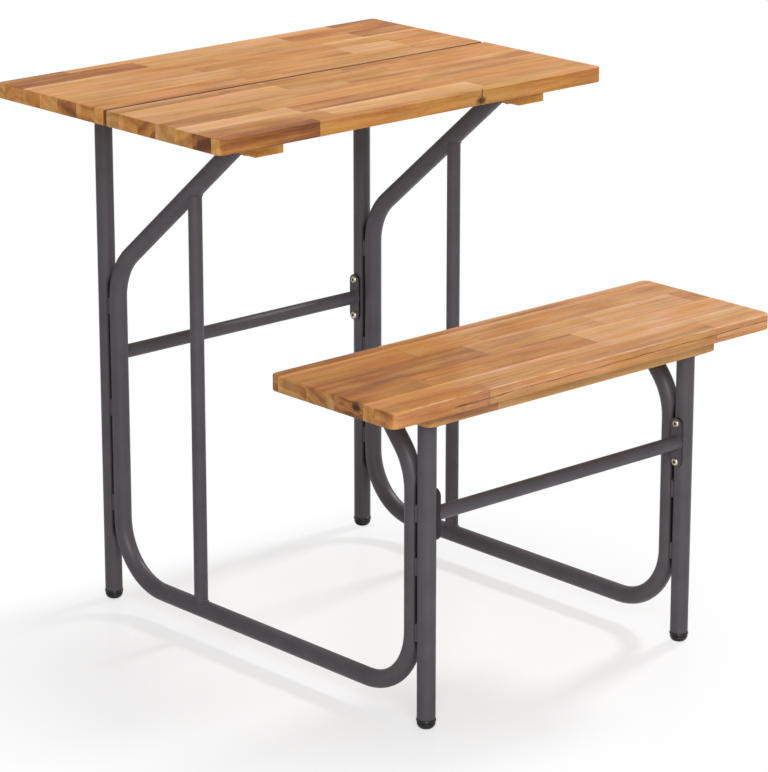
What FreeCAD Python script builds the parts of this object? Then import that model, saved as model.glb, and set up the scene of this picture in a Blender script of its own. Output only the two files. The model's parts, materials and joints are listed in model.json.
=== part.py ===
"""Garden table with an attached bench seat on two welded tube side frames.

The table boards lie at +Y, the bench at -Y, and X runs along the boards. The origin is on the
floor under the middle of the whole piece, so that left is -X and right is +X.
"""
import FreeCAD, Part
import os
from math import cos, pi, sin
import Sketcher
from FreeCAD import Placement, Rotation, Vector

doc = FreeCAD.newDocument("GardenTable")

# Driving dimensions: millimetres, and degrees for the angles.
DRIVING = (
    # Wooden boards
    ("board_length", 700, "length of each board"),
    ("board_depth", 240, "depth of each board"),
    ("board_thick", 22, "thickness of each board"),
    ("board_gap", 5.5, "gap between the two table boards"),
    ("board_edge_radius", 2, "rounding of the long edges of a board"),
    ("table_corner_radius", 8, "plan rounding of the table's outer corners"),
    ("inner_corner_radius", 3, "plan rounding of the corners at the gap"),
    ("seat_corner_radius", 12, "plan rounding of the seat and of its under-board"),
    ("table_height", 760, "floor to the top of the table"),
    ("seat_height", 467, "floor to the top of the seat"),
    ("table_overhang", 97, "table's rear edge behind the axis of its legs"),
    ("seat_overhang", 56, "seat's front edge ahead of the axis of its legs"),
    # Wooden battens
    ("cleat_width", 48, "width of a table cleat"),
    ("cleat_thick", 20, "thickness of a table cleat"),
    ("cleat_inset", 30, "cleat's ends inside the table's edges"),
    ("under_board_thick", 20, "thickness of the board under the seat"),
    ("under_board_end_inset", 82, "under-board's ends inside the seat's ends"),
    ("under_board_side_inset", 23, "under-board's sides inside the seat's sides"),
    # Side frames
    ("frame_spacing", 481, "distance between the planes of the two side frames"),
    ("leg_spacing", 667, "table legs to bench legs"),
    ("tube_diameter", 25, "legs and bent side tubes"),
    ("tube_wall", 1.2, "wall of the legs and side tubes"),
    ("thin_tube_diameter", 19.5, "struts and cross bars"),
    ("thin_tube_wall", 1.2, "wall of the struts and cross bars"),
    ("weld_gap", 0.2, "play between tubes before welding"),
    ("bend_radius", 90, "every bend of the side tube, on its axis"),
    ("run_height", 39, "floor to the axis of the side tube's bottom run"),
    ("brace_angle", 40, "slope of the side tube under the table"),
    ("brace_reach", 286, "top end of that slope ahead of the table leg"),
    ("prop_angle", 41, "lean of the side tube under the seat, from upright"),
    ("prop_reach", 83, "top end of that lean behind the bench leg"),
    ("trim_allowance", 30, "length of tube that the trimming of its ends takes off"),
    ("strut_offset", 200.5, "strut ahead of the table leg"),
    # Cross bars with their end plates, bolts and nuts
    ("table_bar_height", 365, "floor to the axis of the bar between the table legs"),
    ("bench_bar_height", 294, "floor to the axis of the bar between the bench legs"),
    ("plate_length", 71, "end plate of a cross bar, upright"),
    ("plate_width", 20, "end plate of a cross bar, across"),
    ("plate_thick", 3, "thickness of that plate"),
    ("bolt_pitch", 55, "distance between the two bolts of a plate"),
    ("bolt_diameter", 6, "bolt's shank"),
    ("bolt_length", 14, "bolt's shank under its head"),
    ("bolt_head_diameter", 10.5, "button head"),
    ("bolt_head_height", 3.3, "button head"),
    ("bolt_head_radius", 2.6, "rounding of the button head"),
    ("bolt_socket_width", 4, "hexagon socket across its flats"),
    ("bolt_socket_depth", 2, "hexagon socket"),
    ("bolt_clearance", 0.2, "play round a bolt and round a nut"),
    ("nut_diameter", 9, "threaded insert in the leg"),
    ("nut_length", 11, "threaded insert in the leg"),
    # Flanges that carry the wood, and the wood screws
    ("flange_thick", 3, "flange on the top end of a tube"),
    ("flange_width", 36, "flange across the frame"),
    ("flange_corner_radius", 6, "plan rounding of a flange"),
    ("leg_flange_length", 50, "flange on a leg"),
    ("leg_flange_pitch", 36, "distance between its two screws"),
    ("tube_flange_heel", 22, "side tube's flange past the axis on the blind side"),
    ("tube_flange_toe", 44, "side tube's flange past the axis on the open side"),
    ("tube_flange_reach", 36, "screws of that flange from the axis"),
    ("tube_flange_pitch", 20, "distance between those two screws"),
    ("screw_diameter", 4, "wood screw's shank"),
    ("screw_head_diameter", 8, "wood screw's head"),
    ("screw_head_height", 2.5, "wood screw's head"),
    ("screw_head_radius", 1.5, "rounding of the wood screw's head"),
    ("screw_point_length", 4, "cone at the wood screw's end"),
    ("screw_clearance", 0.2, "play round a wood screw"),
    ("flange_screw_length", 17, "wood screw through a flange, under its head"),
    ("batten_screw_length", 32, "wood screw through a cleat or the under-board"),
    ("counterbore_depth", 4, "sinking of the heads in the cleats and the under-board"),
    ("counterbore_clearance", 0.5, "play round a sunk head"),
    ("cleat_screw_pitch", 140, "two screws that hold one board on one cleat"),
    ("seat_screw_pitch_x", 150, "screws of the under-board along the seat"),
    ("seat_screw_pitch_y", 120, "screws of the under-board across the seat"),
    # Feet and stitch welds
    ("foot_height", 14, "foot cap below the end of the leg"),
    ("foot_collar_height", 4.5, "collar of the foot cap under the leg"),
    ("foot_collar_lip", 0.8, "that collar outside the leg"),
    ("foot_collar_radius", 1.5, "rounding of the collar"),
    ("foot_groove_width", 1, "groove between the collar and the dome"),
    ("foot_groove_depth", 0.8, "that groove inside the leg's outline"),
    ("foot_dome_radius", 8, "rounding of the dome towards the floor"),
    ("foot_plug_length", 18, "foot cap's plug in the leg"),
    ("foot_clearance", 0.15, "play round that plug"),
    ("weld_length", 25, "stitch weld along the tubes"),
    ("weld_radius", 3, "bead of a stitch weld"),
    ("weld_end_radius", 2, "rounding of the ends of a stitch weld"),
    ("weld_offset", 5.5, "bead's middle outside the plane of the frame"),
    ("table_weld_low", 150, "floor to the middle of the welds at a table leg"),
    ("table_weld_middle", 292, ""),
    ("table_weld_high", 442, ""),
    ("bench_weld_low", 131.5, "floor to the middle of the welds at a bench leg"),
    ("bench_weld_middle", 222.5, ""),
    ("bench_weld_high", 295.5, ""),
)

# Places and sizes that follow from the driving dimensions.
DERIVED = (
    ("half_depth", "(Sizes.table_overhang + Sizes.leg_spacing + Sizes.seat_overhang) / 2"),
    ("leg_x", "Sizes.frame_spacing / 2"),
    ("table_leg_y", "half_depth - Sizes.table_overhang"),
    ("bench_leg_y", "table_leg_y - Sizes.leg_spacing"),
    ("rear_board_y", "half_depth - Sizes.board_depth / 2"),
    ("front_board_y", "rear_board_y - Sizes.board_depth - Sizes.board_gap"),
    ("seat_y", "Sizes.board_depth / 2 - half_depth"),
    ("table_board_z", "Sizes.table_height - Sizes.board_thick"),
    ("cleat_z", "table_board_z - Sizes.cleat_thick"),
    ("seat_z", "Sizes.seat_height - Sizes.board_thick"),
    ("under_board_z", "seat_z - Sizes.under_board_thick"),
    ("cleat_length", "2 * Sizes.board_depth + Sizes.board_gap - 2 * Sizes.cleat_inset"),
    ("cleat_y", "(rear_board_y + front_board_y) / 2"),
    ("tube_radius", "Sizes.tube_diameter / 2"),
    ("table_tube_top", "cleat_z - Sizes.flange_thick"),
    ("bench_tube_top", "under_board_z - Sizes.flange_thick"),
    ("tube_pitch", "Sizes.tube_diameter + Sizes.weld_gap"),
    # Axis of the bent side tube: corners of its path, and how far each bend reaches from them
    ("brace_top_y", "table_leg_y - Sizes.brace_reach"),
    ("table_run_y", "table_leg_y - tube_pitch"),
    ("brace_corner_z",
     "table_tube_top - (table_run_y - brace_top_y) * tan(Sizes.brace_angle * 1 deg)"),
    ("brace_bend", "Sizes.bend_radius * tan((90 - Sizes.brace_angle) / 2 * 1 deg)"),
    ("brace_dy", "cos(Sizes.brace_angle * 1 deg)"),
    ("brace_dz", "sin(Sizes.brace_angle * 1 deg)"),
    ("prop_top_y", "bench_leg_y + Sizes.prop_reach"),
    ("bench_run_y", "bench_leg_y + tube_pitch"),
    ("prop_corner_z",
     "bench_tube_top - (prop_top_y - bench_run_y) / tan(Sizes.prop_angle * 1 deg)"),
    ("prop_bend", "Sizes.bend_radius * tan(Sizes.prop_angle / 2 * 1 deg)"),
    ("prop_dy", "sin(Sizes.prop_angle * 1 deg)"),
    ("prop_dz", "cos(Sizes.prop_angle * 1 deg)"),
    ("strut_y", "table_leg_y - Sizes.strut_offset"),
    ("strut_top_z",
     "brace_corner_z + (table_run_y - strut_y) * tan(Sizes.brace_angle * 1 deg)"),
    ("plate_x", "leg_x - tube_radius - Sizes.plate_thick"),
    ("pilot_diameter", "Sizes.screw_diameter + 2 * Sizes.screw_clearance"),
    ("counterbore_diameter", "Sizes.screw_head_diameter + 2 * Sizes.counterbore_clearance"),
    ("flange_pilot_depth",
     "Sizes.flange_screw_length - Sizes.flange_thick + Sizes.screw_clearance"),
    ("table_pilot_depth",
     "Sizes.counterbore_depth + Sizes.batten_screw_length - Sizes.cleat_thick"
     " + Sizes.screw_clearance"),
    ("seat_pilot_depth",
     "Sizes.counterbore_depth + Sizes.batten_screw_length - Sizes.under_board_thick"
     " + Sizes.screw_clearance"),
    ("bolt_hole", "Sizes.bolt_diameter + 2 * Sizes.bolt_clearance"),
    ("nut_hole", "Sizes.nut_diameter + 2 * Sizes.bolt_clearance"),
    ("weld_cut_radius", "tube_radius + Sizes.weld_gap / 2"),
)

SIDES = (("left", -1), ("right", 1))


def add_sheet(name):
    return doc.addObject("Spreadsheet::Sheet", name)


sizes = add_sheet("Sizes")
for row, (alias, number, note) in enumerate(DRIVING, 1):
    sizes.set(f"A{row}", alias)
    sizes.set(f"B{row}", str(number))
    sizes.setAlias(f"B{row}", alias)
    sizes.set(f"C{row}", note)

layout = add_sheet("Layout")
for row, (alias, formula) in enumerate(DERIVED, 1):
    layout.set(f"A{row}", alias)
    layout.set(f"B{row}", "=" + formula)
    layout.setAlias(f"B{row}", alias)
doc.recompute()

parts = {}


def value(expression):
    """Number that an expression on the two sheets gives."""
    return float(layout.evalExpression(str(expression)))


def bind(thing, **expressions):
    """Tie properties of a feature to expressions."""
    for name, expression in expressions.items():
        thing.setExpression(name, str(expression))


def new_body(label, part=True):
    body = doc.addObject("PartDesign::Body", label)
    body.Label = label
    if part:
        parts[label] = body
    return body


def place(thing, x=0, y=0, z=0):
    """Tie a sub-part's place to expressions."""
    for axis, expression in (("x", x), ("y", y), ("z", z)):
        thing.setExpression(f"Placement.Base.{axis}", str(expression))


def new_sketch(body, name, plane="XY_Plane"):
    sketch = body.newObject("Sketcher::SketchObject", f"{body.Name}_{name}")
    support = next(f for f in body.Origin.OriginFeatures if f.Role == plane)
    sketch.AttachmentSupport = [(support, "")]
    sketch.MapMode = "FlatFace"
    return sketch


def lift(sketch, z):
    """Move a sketch along the normal of its plane."""
    sketch.setExpression("AttachmentOffset.Base.z", str(z))


def pin(sketch, geometry, point, x, y):
    """Fix one point of a sketch at a pair of expressions."""
    for axis, expression in (("X", x), ("Y", y)):
        distance = Sketcher.Constraint(f"Distance{axis}", -1, 1, geometry, point, value(expression))
        name = f"{axis.lower()}_{geometry}_{point}"
        sketch.renameConstraint(sketch.addConstraint(distance), name)
        sketch.setExpression(f"Constraints.{name}", str(expression))


def polygon(sketch, points):
    """Closed outline with its corners at pairs of expressions."""
    corners = [Vector(value(x), value(y), 0) for x, y in points]
    count = len(corners)
    first = sketch.GeometryCount
    for i in range(count):
        sketch.addGeometry(Part.LineSegment(corners[i], corners[(i + 1) % count]), False)
    for i in range(count):
        following = first + (i + 1) % count
        sketch.addConstraint(Sketcher.Constraint("Coincident", first + i, 2, following, 1))
    for i, (x, y) in enumerate(points):
        pin(sketch, first + i, 1, x, y)


def rectangle(sketch, width, height):
    """Rectangle round the sketch's origin."""
    x, y = f"({width}) / 2", f"({height}) / 2"
    polygon(sketch, [(f"-{x}", f"-{y}"), (x, f"-{y}"), (x, y), (f"-{x}", y)])


def circles(sketch, centres, diameter):
    """Equal circles at pairs of expressions."""
    for x, y in centres:
        middle = Vector(value(x), value(y), 0)
        circle = Part.Circle(middle, Vector(0, 0, 1), value(diameter) / 2)
        index = sketch.addGeometry(circle, False)
        pin(sketch, index, 3, x, y)
        across = sketch.addConstraint(Sketcher.Constraint("Diameter", index, value(diameter)))
        sketch.renameConstraint(across, f"across_{index}")
        sketch.setExpression(f"Constraints.across_{index}", str(diameter))


def upright_slot(sketch, width, height):
    """Outline with straight sides and round ends, tall along the sketch's Y axis."""
    half, reach = f"{width} / 2", f"({height} - {width}) / 2"
    for sign in (1, -1):
        x, y = f"{sign} * {half}", f"{sign} * {reach}"
        circle = Part.Circle(Vector(0, value(y), 0), Vector(0, 0, 1), value(half))
        turn = 0 if sign > 0 else pi
        end = sketch.addGeometry(Part.ArcOfCircle(circle, turn, turn + pi), False)
        pin(sketch, end, 3, 0, y)
        pin(sketch, end, 1, x, y)
        sketch.addConstraint(Sketcher.Constraint("Horizontal", end, 1, end, 2))
    for first, second in ((0, 1), (1, 0)):
        corners = sketch.getPoint(first, 2), sketch.getPoint(second, 1)
        edge = sketch.addGeometry(Part.LineSegment(*corners), False)
        sketch.addConstraint(Sketcher.Constraint("Coincident", first, 2, edge, 1))
        sketch.addConstraint(Sketcher.Constraint("Coincident", edge, 2, second, 1))


def ring(sketch, diameter, wall):
    """Section of a tube round the sketch's origin."""
    circles(sketch, [(0, 0)], diameter)
    circles(sketch, [(0, 0)], f"{diameter} - 2 * {wall}")


def pad(body, sketch, length, symmetric=False):
    feature = body.newObject("PartDesign::Pad", f"{sketch.Name}_pad")
    feature.Profile = sketch
    feature.SideType = "Symmetric" if symmetric else "One side"
    bind(feature, Length=length)
    doc.recompute()
    return feature


def pocket(body, sketch, length, forward=False, symmetric=False):
    """Cut a sketch into its body, along the sketch's normal where forward is true."""
    before = body.Shape.Volume
    feature = body.newObject("PartDesign::Pocket", f"{sketch.Name}_pocket")
    feature.Profile = sketch
    feature.SideType = "Symmetric" if symmetric else "One side"
    feature.Reversed = forward
    bind(feature, Length=length)
    doc.recompute()
    if body.Shape.Volume >= before:
        raise RuntimeError(f"{feature.Name} cuts nothing")
    return feature


def revolve(body, sketch):
    feature = body.newObject("PartDesign::Revolution", f"{sketch.Name}_turn")
    feature.Profile = sketch
    feature.ReferenceAxis = (sketch, ["V_Axis"])
    doc.recompute()
    return feature


def fillet(body, name, radius, chosen):
    """Round the edges of a body for which the test called chosen is true."""
    base = body.Tip
    edges = [f"Edge{i}" for i, edge in enumerate(base.Shape.Edges, 1) if chosen(edge)]
    feature = body.newObject("PartDesign::Fillet", f"{body.Name}_{name}")
    feature.Base = (base, edges)
    bind(feature, Radius=radius)
    doc.recompute()
    return feature


def upright(edge):
    """True for an edge that runs along Z."""
    box = edge.BoundBox
    return box.ZLength > 0.1 and box.XLength < 0.001 and box.YLength < 0.001


def level(z):
    """Test for edges that lie at a height in their own body."""
    height = value(z)
    return lambda edge: abs(edge.BoundBox.ZMin - height) + abs(edge.BoundBox.ZMax - height) < 0.001


def screw_holes(body, name, centres, diameter, depth):
    """Round holes sunk from the underside of a body."""
    sketch = new_sketch(body, name)
    circles(sketch, centres, diameter)
    pocket(body, sketch, depth, forward=True)


def board(label, length, depth, thick, corners):
    """Flat board with rounded plan corners and eased edges.

    The corners are pairs of a radius and the side, -1 or 1 along Y, where it is used.
    """
    body = new_body(label)
    outline = new_sketch(body, "outline")
    rectangle(outline, length, depth)
    pad(body, outline, thick)
    for side, radius in corners:
        fillet(body, f"corner_{'front' if side < 0 else 'rear'}", radius,
               lambda edge: upright(edge) and edge.CenterOfMass.y * side > 0)
    top, bottom = level(thick), level(0)
    fillet(body, "edges", "Sizes.board_edge_radius", lambda edge: top(edge) or bottom(edge))
    return body


def cleat_screw_spots(y):
    """Places of the two screws that hold a board centred at y on a cleat."""
    return [f"{y} + {sign} * Sizes.cleat_screw_pitch / 2" for sign in (-1, 1)]


def table_boards():
    """Two boards, rounded at the table's own corners and kept square at the gap."""
    outer, inner = "Sizes.table_corner_radius", "Sizes.inner_corner_radius"
    for label, y, corners in (
        ("table_board_rear", "Layout.rear_board_y", ((1, outer), (-1, inner))),
        ("table_board_front", "Layout.front_board_y", ((-1, outer), (1, inner))),
    ):
        body = board(label, "Sizes.board_length", "Sizes.board_depth", "Sizes.board_thick", corners)
        pilots = [(f"{sign} * Layout.leg_x", spot) for _, sign in SIDES for spot in cleat_screw_spots(0)]
        screw_holes(body, "pilots", pilots, "Layout.pilot_diameter", "Layout.table_pilot_depth")
        place(body, 0, y, "Layout.table_board_z")


def leg_flange_spots(y):
    return [(0, f"{y} + {sign} * Sizes.leg_flange_pitch / 2") for sign in (-1, 1)]


def tube_flange_spots(y, toe):
    """Places of the two screws of a side tube's flange, whose toe points along -Y or +Y."""
    row = f"{y} + {toe} * Sizes.tube_flange_reach"
    return [(f"{sign} * Sizes.tube_flange_pitch / 2", row) for sign in (-1, 1)]


def table_cleats():
    """Battens across both table boards, over the side frames."""
    for side, sign in SIDES:
        body = new_body(f"table_cleat_{side}")
        outline = new_sketch(body, "outline")
        rectangle(outline, "Sizes.cleat_width", "Layout.cleat_length")
        pad(body, outline, "Sizes.cleat_thick")
        through = []
        for y in ("Layout.rear_board_y", "Layout.front_board_y"):
            through += [(0, f"{spot} - Layout.cleat_y") for spot in cleat_screw_spots(y)]
        screw_holes(body, "through", through, "Layout.pilot_diameter", "Sizes.cleat_thick")
        screw_holes(body, "sunk", through, "Layout.counterbore_diameter", "Sizes.counterbore_depth")
        pilots = leg_flange_spots("Layout.table_leg_y - Layout.cleat_y")
        pilots += tube_flange_spots("Layout.brace_top_y - Layout.cleat_y", -1)
        screw_holes(body, "pilots", pilots, "Layout.pilot_diameter", "Layout.flange_pilot_depth")
        place(body, f"{sign} * Layout.leg_x", "Layout.cleat_y", "Layout.cleat_z")


def seat_screw_spots():
    """Places of the under-board's screws, from the middle of the seat."""
    columns = [f"{i} * Sizes.seat_screw_pitch_x" for i in (-1, 0, 1)]
    rows = [f"{i} * Sizes.seat_screw_pitch_y / 2" for i in (-1, 1)]
    return [(x, y) for x in columns for y in rows]


def seat():
    """Seat board and the smaller board under it that the tubes carry."""
    corner = "Sizes.seat_corner_radius"
    both = ((-1, corner), (1, corner))
    top = board("bench_seat", "Sizes.board_length", "Sizes.board_depth", "Sizes.board_thick", both)
    screw_holes(top, "pilots", seat_screw_spots(), "Layout.pilot_diameter", "Layout.seat_pilot_depth")
    place(top, 0, "Layout.seat_y", "Layout.seat_z")

    length = "Sizes.board_length - 2 * Sizes.under_board_end_inset"
    depth = "Sizes.board_depth - 2 * Sizes.under_board_side_inset"
    under = board("bench_under_board", length, depth, "Sizes.under_board_thick", both)
    spots = seat_screw_spots()
    screw_holes(under, "through", spots, "Layout.pilot_diameter", "Sizes.under_board_thick")
    screw_holes(under, "sunk", spots, "Layout.counterbore_diameter", "Sizes.counterbore_depth")
    pilots = []
    for _, sign in SIDES:
        flange_screws = leg_flange_spots("Layout.bench_leg_y - Layout.seat_y")
        flange_screws += tube_flange_spots("Layout.prop_top_y - Layout.seat_y", 1)
        pilots += [(f"{sign} * Layout.leg_x + {x}", y) for x, y in flange_screws]
    screw_holes(under, "pilots", pilots, "Layout.pilot_diameter", "Layout.flange_pilot_depth")
    place(under, 0, "Layout.seat_y", "Layout.under_board_z")


# Each pair of legs: its place, the underside of its flange and the height of its cross bar.
LEG_PAIRS = (
    ("table", "Layout.table_leg_y", "Layout.table_tube_top", "Sizes.table_bar_height"),
    ("bench", "Layout.bench_leg_y", "Layout.bench_tube_top", "Sizes.bench_bar_height"),
)


def bolt_heights(bar_height):
    return [f"{bar_height} + {sign} * Sizes.bolt_pitch / 2" for sign in (-1, 1)]


def legs():
    """Upright tubes with a flange on top, a cap below and threaded inserts on the inner side."""
    for pair, y, top, bar_height in LEG_PAIRS:
        for side, sign in SIDES:
            x = f"{sign} * Layout.leg_x"
            leg = new_body(f"{pair}_leg_{side}")
            section = new_sketch(leg, "section")
            ring(section, "Sizes.tube_diameter", "Sizes.tube_wall")
            pad(leg, section, f"{top} - Sizes.foot_height")
            holes = new_sketch(leg, "nut_holes", "YZ_Plane")
            heights = [(0, f"{height} - Sizes.foot_height") for height in bolt_heights(bar_height)]
            circles(holes, heights, "Layout.nut_hole")
            pocket(leg, holes, "Sizes.tube_diameter", forward=sign < 0)
            place(leg, x, y, "Sizes.foot_height")
            leg_flange(f"{pair}_leg_flange_{side}", x, y, top)
            foot_cap(f"{pair}_foot_{side}", x, y)


def leg_flange(label, x, y, z):
    body = new_body(label)
    outline = new_sketch(body, "outline")
    rectangle(outline, "Sizes.flange_width", "Sizes.leg_flange_length")
    pad(body, outline, "Sizes.flange_thick")
    fillet(body, "corners", "Sizes.flange_corner_radius", upright)
    screw_holes(body, "holes", leg_flange_spots(0), "Layout.pilot_diameter", "Sizes.flange_thick")
    place(body, x, y, z)


def tube_flange(label, x, y, z, toe):
    """Flange on the slanting end of a side tube, with its screws on the open side."""
    body = new_body(label)
    outline = new_sketch(body, "outline")
    half = "Sizes.flange_width / 2"
    heel, tip = f"-({toe}) * Sizes.tube_flange_heel", f"{toe} * Sizes.tube_flange_toe"
    polygon(outline, [(f"-{half}", heel), (half, heel), (half, tip), (f"-{half}", tip)])
    pad(body, outline, "Sizes.flange_thick")
    fillet(body, "corners", "Sizes.flange_corner_radius", upright)
    screw_holes(body, "holes", tube_flange_spots(0, toe), "Layout.pilot_diameter", "Sizes.flange_thick")
    place(body, x, y, z)


def foot_cap(label, x, y):
    """Cap with a round collar and a domed sole, whose plug sits in the open end of the leg."""
    body = new_body(label)
    profile = new_sketch(body, "profile", "XZ_Plane")
    dome = "Layout.tube_radius"
    collar = "Layout.tube_radius + Sizes.foot_collar_lip"
    neck = "Layout.tube_radius - Sizes.foot_groove_depth"
    plug = "Layout.tube_radius - Sizes.tube_wall - Sizes.foot_clearance"
    collar_top = "Sizes.foot_height"
    collar_bottom = "Sizes.foot_height - Sizes.foot_collar_height"
    dome_top = f"{collar_bottom} - Sizes.foot_groove_width"
    plug_top = "Sizes.foot_height + Sizes.foot_plug_length"
    polygon(profile, [(0, 0), (dome, 0), (dome, dome_top), (neck, dome_top), (neck, collar_bottom),
                      (collar, collar_bottom), (collar, collar_top), (plug, collar_top),
                      (plug, plug_top), (0, plug_top)])
    revolve(body, profile)
    fillet(body, "dome", "Sizes.foot_dome_radius", level(0))
    top, bottom, reach = level(collar_top), level(collar_bottom), value(dome)
    fillet(body, "collar", "Sizes.foot_collar_radius",
           lambda edge: (top(edge) or bottom(edge)) and edge.BoundBox.XMax > reach)
    place(body, x, y, 0)


def side_tube_path(body):
    """Axis of the bent tube: brace, upright, bottom run, upright and prop, joined by equal bends."""
    path = new_sketch(body, "path", "YZ_Plane")
    brace_y, prop_y, run_z = "Layout.table_run_y", "Layout.bench_run_y", "Sizes.run_height"
    brace_z, prop_z = "Layout.brace_corner_z", "Layout.prop_corner_z"
    ends = (
        ("Layout.brace_top_y - Sizes.trim_allowance * Layout.brace_dy",
         "Layout.table_tube_top + Sizes.trim_allowance * Layout.brace_dz"),
        ("Layout.prop_top_y + Sizes.trim_allowance * Layout.prop_dy",
         "Layout.bench_tube_top + Sizes.trim_allowance * Layout.prop_dz"),
    )
    lines = (
        (ends[0], (f"{brace_y} - Layout.brace_bend * Layout.brace_dy",
                   f"{brace_z} + Layout.brace_bend * Layout.brace_dz")),
        ((brace_y, f"{brace_z} - Layout.brace_bend"), (brace_y, f"{run_z} + Sizes.bend_radius")),
        ((f"{brace_y} - Sizes.bend_radius", run_z), (f"{prop_y} + Sizes.bend_radius", run_z)),
        ((prop_y, f"{run_z} + Sizes.bend_radius"), (prop_y, f"{prop_z} - Layout.prop_bend")),
        ((f"{prop_y} + Layout.prop_bend * Layout.prop_dy",
          f"{prop_z} + Layout.prop_bend * Layout.prop_dz"), ends[1]),
    )
    for start, end in lines:
        points = [Vector(value(y), value(z), 0) for y, z in (start, end)]
        index = path.addGeometry(Part.LineSegment(*points), False)
        pin(path, index, 1, *start)
        pin(path, index, 2, *end)
    for before in range(len(lines) - 1):
        bend(path, before, before + 1)
    return path


def bend(path, before, after):
    """Join two straight runs of the path by an arc of the bend radius."""
    runs = [path.Geometry[i] for i in (before, after)]
    start, end = runs[0].EndPoint, runs[1].StartPoint
    ahead = (runs[0].EndPoint - runs[0].StartPoint).normalize()
    chord = end - start
    turn = ahead.getAngle(chord)
    sideways = (chord - ahead * chord.dot(ahead)).normalize()
    radius = value("Sizes.bend_radius")
    middle = start + ahead * radius * sin(turn) + sideways * radius * (1 - cos(turn))
    index = path.addGeometry(Part.Arc(start, middle, end), False)
    clockwise = ahead.cross(sideways).z < 0
    for run, run_end, arc_end in ((before, 2, 1 + clockwise), (after, 1, 2 - clockwise)):
        path.addConstraint(Sketcher.Constraint("Coincident", run, run_end, index, arc_end))
    name = f"radius_{before}"
    path.renameConstraint(path.addConstraint(Sketcher.Constraint("Radius", index, radius)), name)
    path.setExpression(f"Constraints.{name}", "Sizes.bend_radius")


def trim_above(body, name, y, z):
    """Cut the end of a slanting tube level, so that its flange sits on it."""
    sketch = new_sketch(body, name)
    lift(sketch, z)
    half = "(Sizes.tube_diameter + Sizes.trim_allowance)"
    polygon(sketch, [(f"-{half}", f"{y} - 2 * {half}"), (half, f"{y} - 2 * {half}"),
                     (half, f"{y} + 2 * {half}"), (f"-{half}", f"{y} + 2 * {half}")])
    pocket(body, sketch, f"2 * {half}", forward=True)


def side_tubes():
    """One long bent tube on each side carries the table's front, the floor run and the seat."""
    for side, sign in SIDES:
        x = f"{sign} * Layout.leg_x"
        body = new_body(f"side_tube_{side}")
        path = side_tube_path(body)
        section = new_sketch(body, "section")
        section.AttachmentOffset = Placement(Vector(), Rotation(Vector(1, 0, 0), 45))
        section.setExpression("AttachmentOffset.Rotation.Angle", "90 - Sizes.brace_angle")
        section.setExpression("AttachmentOffset.Base.y",
                              "Layout.brace_top_y - Sizes.trim_allowance * Layout.brace_dy")
        section.setExpression("AttachmentOffset.Base.z",
                              "Layout.table_tube_top + Sizes.trim_allowance * Layout.brace_dz")
        ring(section, "Sizes.tube_diameter", "Sizes.tube_wall")
        pipe = body.newObject("PartDesign::AdditivePipe", f"{body.Name}_pipe")
        pipe.Profile = section
        pipe.Spine = (path, [])
        doc.recompute()
        trim_above(body, "trim_brace", "Layout.brace_top_y", "Layout.table_tube_top")
        trim_above(body, "trim_prop", "Layout.prop_top_y", "Layout.bench_tube_top")
        place(body, x)
        tube_flange(f"brace_flange_{side}", x, "Layout.brace_top_y", "Layout.table_tube_top", -1)
        tube_flange(f"prop_flange_{side}", x, "Layout.prop_top_y", "Layout.bench_tube_top", 1)


def struts():
    """Thin upright tubes from the bottom run to the brace, coped to fit both."""
    cope = "Sizes.tube_diameter + Sizes.weld_gap"
    for side, sign in SIDES:
        body = new_body(f"strut_{side}")
        section = new_sketch(body, "section")
        ring(section, "Sizes.thin_tube_diameter", "Sizes.thin_tube_wall")
        pad(body, section, "Layout.strut_top_z - Sizes.run_height")
        bottom = new_sketch(body, "cope_bottom", "XZ_Plane")
        circles(bottom, [(0, 0)], cope)
        pocket(body, bottom, "2 * Sizes.thin_tube_diameter", symmetric=True)
        top = new_sketch(body, "cope_top")
        top.AttachmentOffset = Placement(Vector(), Rotation(Vector(1, 0, 0), 45))
        top.setExpression("AttachmentOffset.Rotation.Angle", "90 - Sizes.brace_angle")
        top.setExpression("AttachmentOffset.Base.z", "Layout.strut_top_z - Sizes.run_height")
        circles(top, [(0, 0)], cope)
        pocket(body, top, "4 * Sizes.thin_tube_diameter", symmetric=True)
        place(body, f"{sign} * Layout.leg_x", "Layout.strut_y", "Sizes.run_height")


def cross_bars():
    """Level tubes between the legs, with an upright end plate at each leg."""
    for pair, y, _, height in LEG_PAIRS:
        bar = new_body(f"{pair}_cross_bar")
        section = new_sketch(bar, "section", "YZ_Plane")
        ring(section, "Sizes.thin_tube_diameter", "Sizes.thin_tube_wall")
        pad(bar, section, "2 * Layout.plate_x", symmetric=True)
        place(bar, 0, y, height)
        for side, sign in SIDES:
            end_plate(f"{pair}_bar_plate_{side}", f"{sign} * (Layout.plate_x + Sizes.plate_thick / 2)",
                      y, height)


def end_plate(label, x, y, z):
    """Upright plate with round ends and two bolt holes."""
    body = new_body(label)
    outline = new_sketch(body, "outline", "YZ_Plane")
    upright_slot(outline, "Sizes.plate_width", "Sizes.plate_length")
    pad(body, outline, "Sizes.plate_thick", symmetric=True)
    holes = new_sketch(body, "holes", "YZ_Plane")
    circles(holes, [(0, f"{sign} * Sizes.bolt_pitch / 2") for sign in (-1, 1)], "Layout.bolt_hole")
    pocket(body, holes, "2 * Sizes.plate_thick", symmetric=True)
    place(body, x, y, z)


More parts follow.
